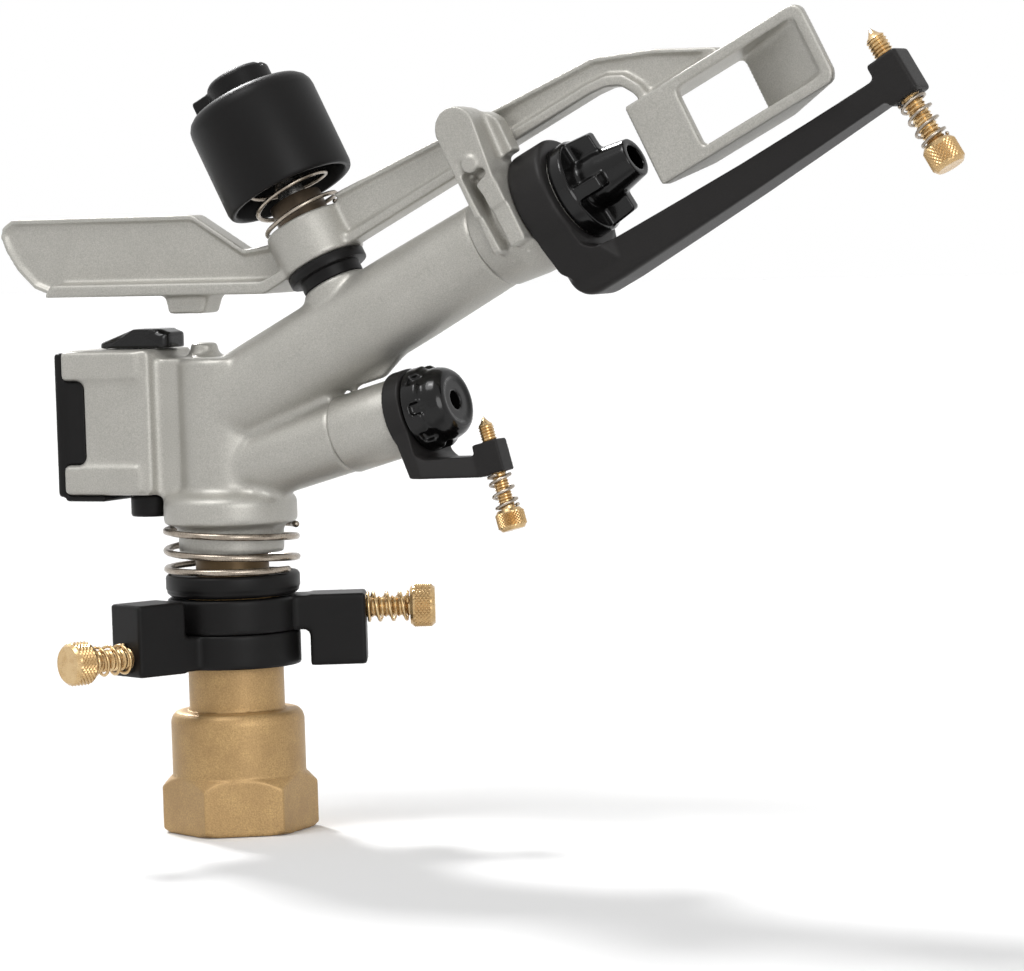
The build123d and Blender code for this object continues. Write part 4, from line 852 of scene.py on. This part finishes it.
cheek_side = slab([
    (115.6, -10), (126, -10), (126, -15), (128.2, -17.2), (133, -17.2), (133, -23.4), (119, -23.4), (115.6, -18.6),
], 34, barrel_side_view, {3: 0.8})
cheek_plan = slab([(114, -13.4), (126, -13.4), (133, -6.8), (133, 6.8), (126, 13.4), (114, 13.4)], 90, plan_view)
cheeks = cut(cut(cheeks, cheek_side, "INTERSECT"), cheek_plan, "INTERSECT")
ring = turned([(12.8, 115.7), (16.2, 115.7), (16.7, 116.2), (16.7, 125.6), (16.0, 126.5), (12.8, 126.5)], main_barrel,
              closed=True)
block_tilt = Matrix.Rotation(radians(-4.2), 4, "Y")
screw_line = place(barrel_root + along_barrel * lever_end, along_barrel, up_barrel) @ block_tilt
block = bar((-4.7, 4.7), (-4.7, 4.7), (-25.0, -12.2), screw_line, 0.8)
bracket = cut(together(ring, cheeks, lever, block), together(rod(2.85, -30, -5, screw_line, steps=40),
                                                             rod(12.8, 115, 127, main_barrel)))
finished(fused(bracket, 0.36, fillet=0.6, smooth=2), "main_breaker_skin", "head", "lever_coat",
         ["main_breaker_bracket"])


def downward(line, level):
    """The same line turned over, so that a screw can be drawn from its tip to its head."""
    return line @ Matrix.Translation((0, 0, level)) @ Matrix.Rotation(pi, 4, "X")


def breaker_spring(side, diameter, at_head, at_bracket, turns, line):
    """The spring under a breaker screw's head, which gives way when the real screw is turned in; here it is wound
    once, in its place, and does not move.
    """
    start, end = [line @ Vector((0, 0, level)) * 0.001 for level in (at_bracket, at_head)]
    finished(wound(diameter, 0.9, at_head, at_bracket, turns, line, sides=8, steps=24),
             f"{side}_breaker_spring_wire", "head", "spring_wire", [f"{side}_breaker_spring"],
             stretch=(f"{side}_breaker_screw", start, end))


finished(thumb_screw_turning(downward(screw_line, -3.4), 2.8, 0, 35.2, 4.8, 7.4, 1.0), "main_breaker_screw_turning",
         "main_breaker_screw", "bright_brass", ["main_breaker_screw"], 30)
breaker_spring("main", 8.2, -38.45, -25.15, 4.6, screw_line)

# %% [markdown]
# The small side jet has the same set in miniature: a cast sleeve, a black cap nozzle with a domed face,
# a bracket bent like a strap, and a breaker screw.

# %% Side nozzle set
finished(turned([(8.2, 40.5), (10.5, 40.5), (10.9, 41.2), (10.9, 59.6), (9.7, 59.6), (9.7, 65.4), (8.2, 65.4)],
                side_barrel, 0.25, closed=True), "side_sleeve_turned", "head", "cast_aluminium",
         ["side_nozzle_holder"], 35)
side_cap = turned([(0, 58.4), (8.2, 58.4), (8.2, 65.4), (11.7, 65.4), (11.7, 70.0), (11.2, 70.6), (10.3, 70.9),
                   (10.1, 73.2), (9.4, 75.2), (8.4, 76.4), (7.4, 76.8), (0, 76.8)], side_barrel)
notches = [bar((10.1, 14), (-1.7, 1.7), (67.6, 72.4), side_barrel @ Matrix.Rotation(tau / 8 * i, 4, "Z"))
           for i in range(8)]
face_cut = turned([(0, 76.2), (6.3, 76.2), (6.3, 77.5), (0, 77.5)], side_barrel)
hole = rod(2.6, 66, 78, side_barrel, steps=32)
stem_bore = rod(6.5, 57, 72.8, side_barrel)
side_cap = cut(side_cap, together(*notches, face_cut, hole, stem_bore))
finished(fused(side_cap, 0.3, fillet=0.4, smooth=2), "side_nozzle_moulding", "head",
         "glossy_moulding", ["side_nozzle"])
side_plan_view = place(side_root, along_side, up_side)
strap = slab([
    (59.6, 0), (61.8, -17.9), (78.6, -22.6), (86.4, -22.6), (86.4, -13.6), (78.6, -13.6), (78.6, -16.6),
    (67.2, -14.0), (65, -11.8), (65, 0),
], 24.4, side_side_view)
strap_plan = slab([(59.6, -11), (65, -11), (78.6, -3.2), (86.4, -3.2), (86.4, 3.2), (78.6, 3.2), (65, 11), (59.6, 11)],
                  90, side_plan_view)
side_ring = turned([(9.7, 59.6), (12.2, 59.6), (12.2, 65), (9.7, 65)], side_barrel, closed=True)
side_line = place(side_root + along_side * 82.9, along_side, up_side)
strap = cut(together(side_ring, cut(strap, strap_plan, "INTERSECT")),
            together(rod(2.25, -30, -5, side_line, steps=32), rod(9.7, 59, 66, side_barrel)))
finished(fused(strap, 0.34, fillet=0.4, smooth=2), "side_breaker_skin", "head", "lever_coat",
         ["side_breaker_bracket"])
finished(thumb_screw_turning(downward(side_line, -6.6), 2.2, 0, 26.2, 4.1, 5.8, 0.8), "side_breaker_screw_turning",
         "side_breaker_screw", "bright_brass", ["side_breaker_screw"], 30)
breaker_spring("side", 7.0, -32.65, -22.75, 3.8, side_line)

# %% [markdown]
# The drive arm is the piece the sprinkler is named for. The jet hits the deflector at its right end and
# throws the arm aside; the spring brings it back against the lug, which nudges the head round a step.
# It is one casting: a rimmed paddle as counterweight, the hub, a rimmed web and the deflector.

# %% Drive arm
paddle_edge = [
    (-54.6, 150.4), (-61.5, 153.0), (-67.3, 158.6), (-70.6, 163.6), (-72.3, 167.7), (-71.6, 170.6), (-68.4, 172.7),
    (-7.4, 172.7), (9.1, 162.7), (24.0, 164.7), (28.0, 157.5), (22.4, 152.6), (18.6, 150.4),
]
paddle = slab(paddle_edge, 3.6, upright_view)


def rim_of(outline, depth, width, where_to):
    """A raised rim: the outline's sheet with its face inset and the inside taken away."""
    bm = slab(outline, depth, where_to)
    flat = [f for f in bm.faces if len(f.verts) >= len(outline)]
    bmesh.ops.inset_region(bm, faces=flat, thickness=width, use_even_offset=True)
    inner = [f for f in bm.faces if len(f.verts) >= len(outline)]
    loops = list({e for f in inner for e in f.edges})
    bmesh.ops.delete(bm, geom=inner, context="FACES_ONLY")
    bmesh.ops.bridge_loops(bm, edges=loops)
    bmesh.ops.recalc_face_normals(bm, faces=bm.faces)
    return bm


paddle_rim = rim_of(paddle_edge, 6.4, 1.3, upright_view)
shelf = slab([(-54.6, 150.4), (-52, 154.0), (18, 154.0), (24, 156.6), (26, 154.4), (18.6, 150.4)], 18.0, upright_view,
             soft=0.5)
pad = slab([(-16.9, 151.2), (-15.5, 145.2), (-4.1, 145.2), (-1.9, 151.2)], 9.0, upright_view, soft=0.4)
arm_edge = [
    (144, 20.2), (56, 20.6), (56, 35.6), (63, 35.1), (101, 32.1), (124.5, 30.4), (149, 28.6), (166, 21.8),
    (182, 13.4), (183, 11), (156.6, 11), (155.4, 14.4), (153.2, 17.6), (149, 19.6),
]
front_web = slab(arm_edge, 3.6, barrel_side_view)
front_rim = rim_of(arm_edge, 6.4, 1.3, barrel_side_view)
lip = slab([
    (56, 20.6), (144, 20.2), (149, 19.6), (153.2, 17.6), (155.4, 14.4), (156.6, 11), (159.6, 11), (158.6, 15.4),
    (155.6, 20.0), (150.6, 22.5), (144, 23.2), (56, 23.6),
], 8.6, barrel_side_view, soft=0.8, segments=3)
vane_middle, vane_height = 0.65, 21.3
vane_view = place(barrel_root - up_barrel * vane_middle, along_barrel, -up_barrel)
entry = slab([(153.6, 9), (169, 9), (169, 5.8), (153.6, 7.4)], vane_height, vane_view)
drive = slab([(184.5, -3.4), (189.3, -3.4), (208.5, 4.2), (208.5, 8.6)], vane_height, vane_view)
plan = slab([(152.6, 10), (212, 10), (212, 6), (208, 6), (191.7, -3.4), (165, -3.4), (152.6, 4.8)], 30, vane_view)
corner_trim = slab([(150, -12.3), (211, -12.3), (211, 11), (150, 11)], 40, barrel_side_view, {1: 3.2, 2: 3.2})
rails = cut(bar((-12.3, 11), (-3.4, 9), (153.6, 211), main_barrel),
            bar((-9.2, 7.9), (-20, 20), (150, 208), main_barrel))
rails = cut(cut(rails, plan, "INTERSECT"), corner_trim, "INTERSECT")
hub = rod(12.0, 20.5, 33.2, pivot, 0.5)
arm = cut(together(paddle, paddle_rim, shelf, pad, front_web, front_rim, lip, rails, entry, drive, hub), together(
    rod(7.5, 10, 50, pivot), rod(12.3, 5, 20.42, pivot), rod(13.5, 33.2, 46, pivot)))
finished(fused(arm, 0.5, fillet=0.7, smooth=2), "drive_arm_skin", "arm", "cast_aluminium",
         ["drive_arm"])

# %% [markdown]
# The reversing gear shows only a little: the black cover on the left with its tongue in the window, the
# wedge on top that lifts under the arm, and the trip lever below.

# %% Reversing gear
toggle_line = place((cover_x, 0, 114), (0, 0, 1), (1, 0, 0))
cover = bar((-49.8, cover_x), (-12, 12), (94.0, 134.8), column, 0.7)
tongue = bar((-47.3, -40.3), (-11.5, -8.8), (103.2, 126.8), column, 0.3)
seat = rod(2.3, -0.5, 3, toggle_line, steps=24)
lip_under = bar((-47.3, -34), (-12, 12), (92.8, 94.5), column, 0.3)
finished(fused(together(cover, tongue, seat, lip_under), 0.4, fillet=0.3, smooth=2), "reverser_cover_moulding", "head",
         "black_moulding", ["reverser_cover"])
wedge = slab([(-38.8, 135.7), (-15.8, 135.7), (-15.8, 140.0), (-18.8, 141.1), (-27.8, 141.1), (-38.8, 137.3)], 12.0,
             upright_view)
upright_edges = [e for e in wedge.edges if abs((e.verts[0].co - e.verts[1].co).z) > 1 and
                 abs((e.verts[0].co - e.verts[1].co).y) < 0.1]
rounded(wedge, upright_edges, 3.0, 5, clamp=False)
wedge = cut(wedge, rod(2.5, 130, 140.1, spindle, steps=32))
finished(fused(wedge, 0.3, fillet=0.3, smooth=2), "reverser_cam_moulding", "reverser",
         "glossy_moulding", ["reverser_cam"])
crank = bar((-7, 0), (-2, 2), (111.5, 116.5), spindle, 0.4)
finished(together(rod(2.5, 88.3, 140.0, spindle, 0.4, steps=40), crank), "reverser_spindle_turned", "reverser",
         "turned_steel", ["reverser_spindle"], 35)
finger_way, finger_radius = radians(125), 27.4
finger = Vector((finger_radius * cos(finger_way), finger_radius * sin(finger_way), 0))
reach = finger - Vector((spindle_x, 0, 0))
trip_hub = rod(6.3, 88.1, 94.3, spindle, 0.4)
trip_bar = bar((0, reach.length + 3), (-2, 3), (88.1, 94.3), place((spindle_x, 0, 0), reach, (0, 0, 1)), 0.5)
drop = bar((25.4, 29.4), (-3, 3), (49, 94.3), place((0, 0, 0), finger, (0, 0, 1)), 0.5)
trip = cut(together(trip_hub, trip_bar, drop), rod(2.5, 85, 96, spindle, steps=32))
finished(fused(trip, 0.36, fillet=0.4, smooth=2), "trip_lever_moulding", "reverser",
         "black_moulding", ["trip_lever"])
finished(wound(6.4, 0.8, 0.1, 14.1, 5.0, toggle_line, sides=8, steps=24), "toggle_spring_wire",
         "head", "spring_wire", ["toggle_spring"])

# %% [markdown]
# Three nodes never show: the washer and the seal inside the coupling, and the vanes that straighten the
# stream inside the barrel. They keep the frame's own shapes, and only their surfaces are changed.

# %% Hidden nodes
for node, finish in (("thrust_washer", "black_moulding"), ("thrust_seal", "seal_rubber"),
                     ("stream_straightener", "black_moulding")):
    for slot_of_node in bpy.data.objects[node].material_slots:
        slot_of_node.material = finishes[finish]
print("pieces made:", len(pieces_made))

# %% Sizes
low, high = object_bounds()
print("size now", low, high)
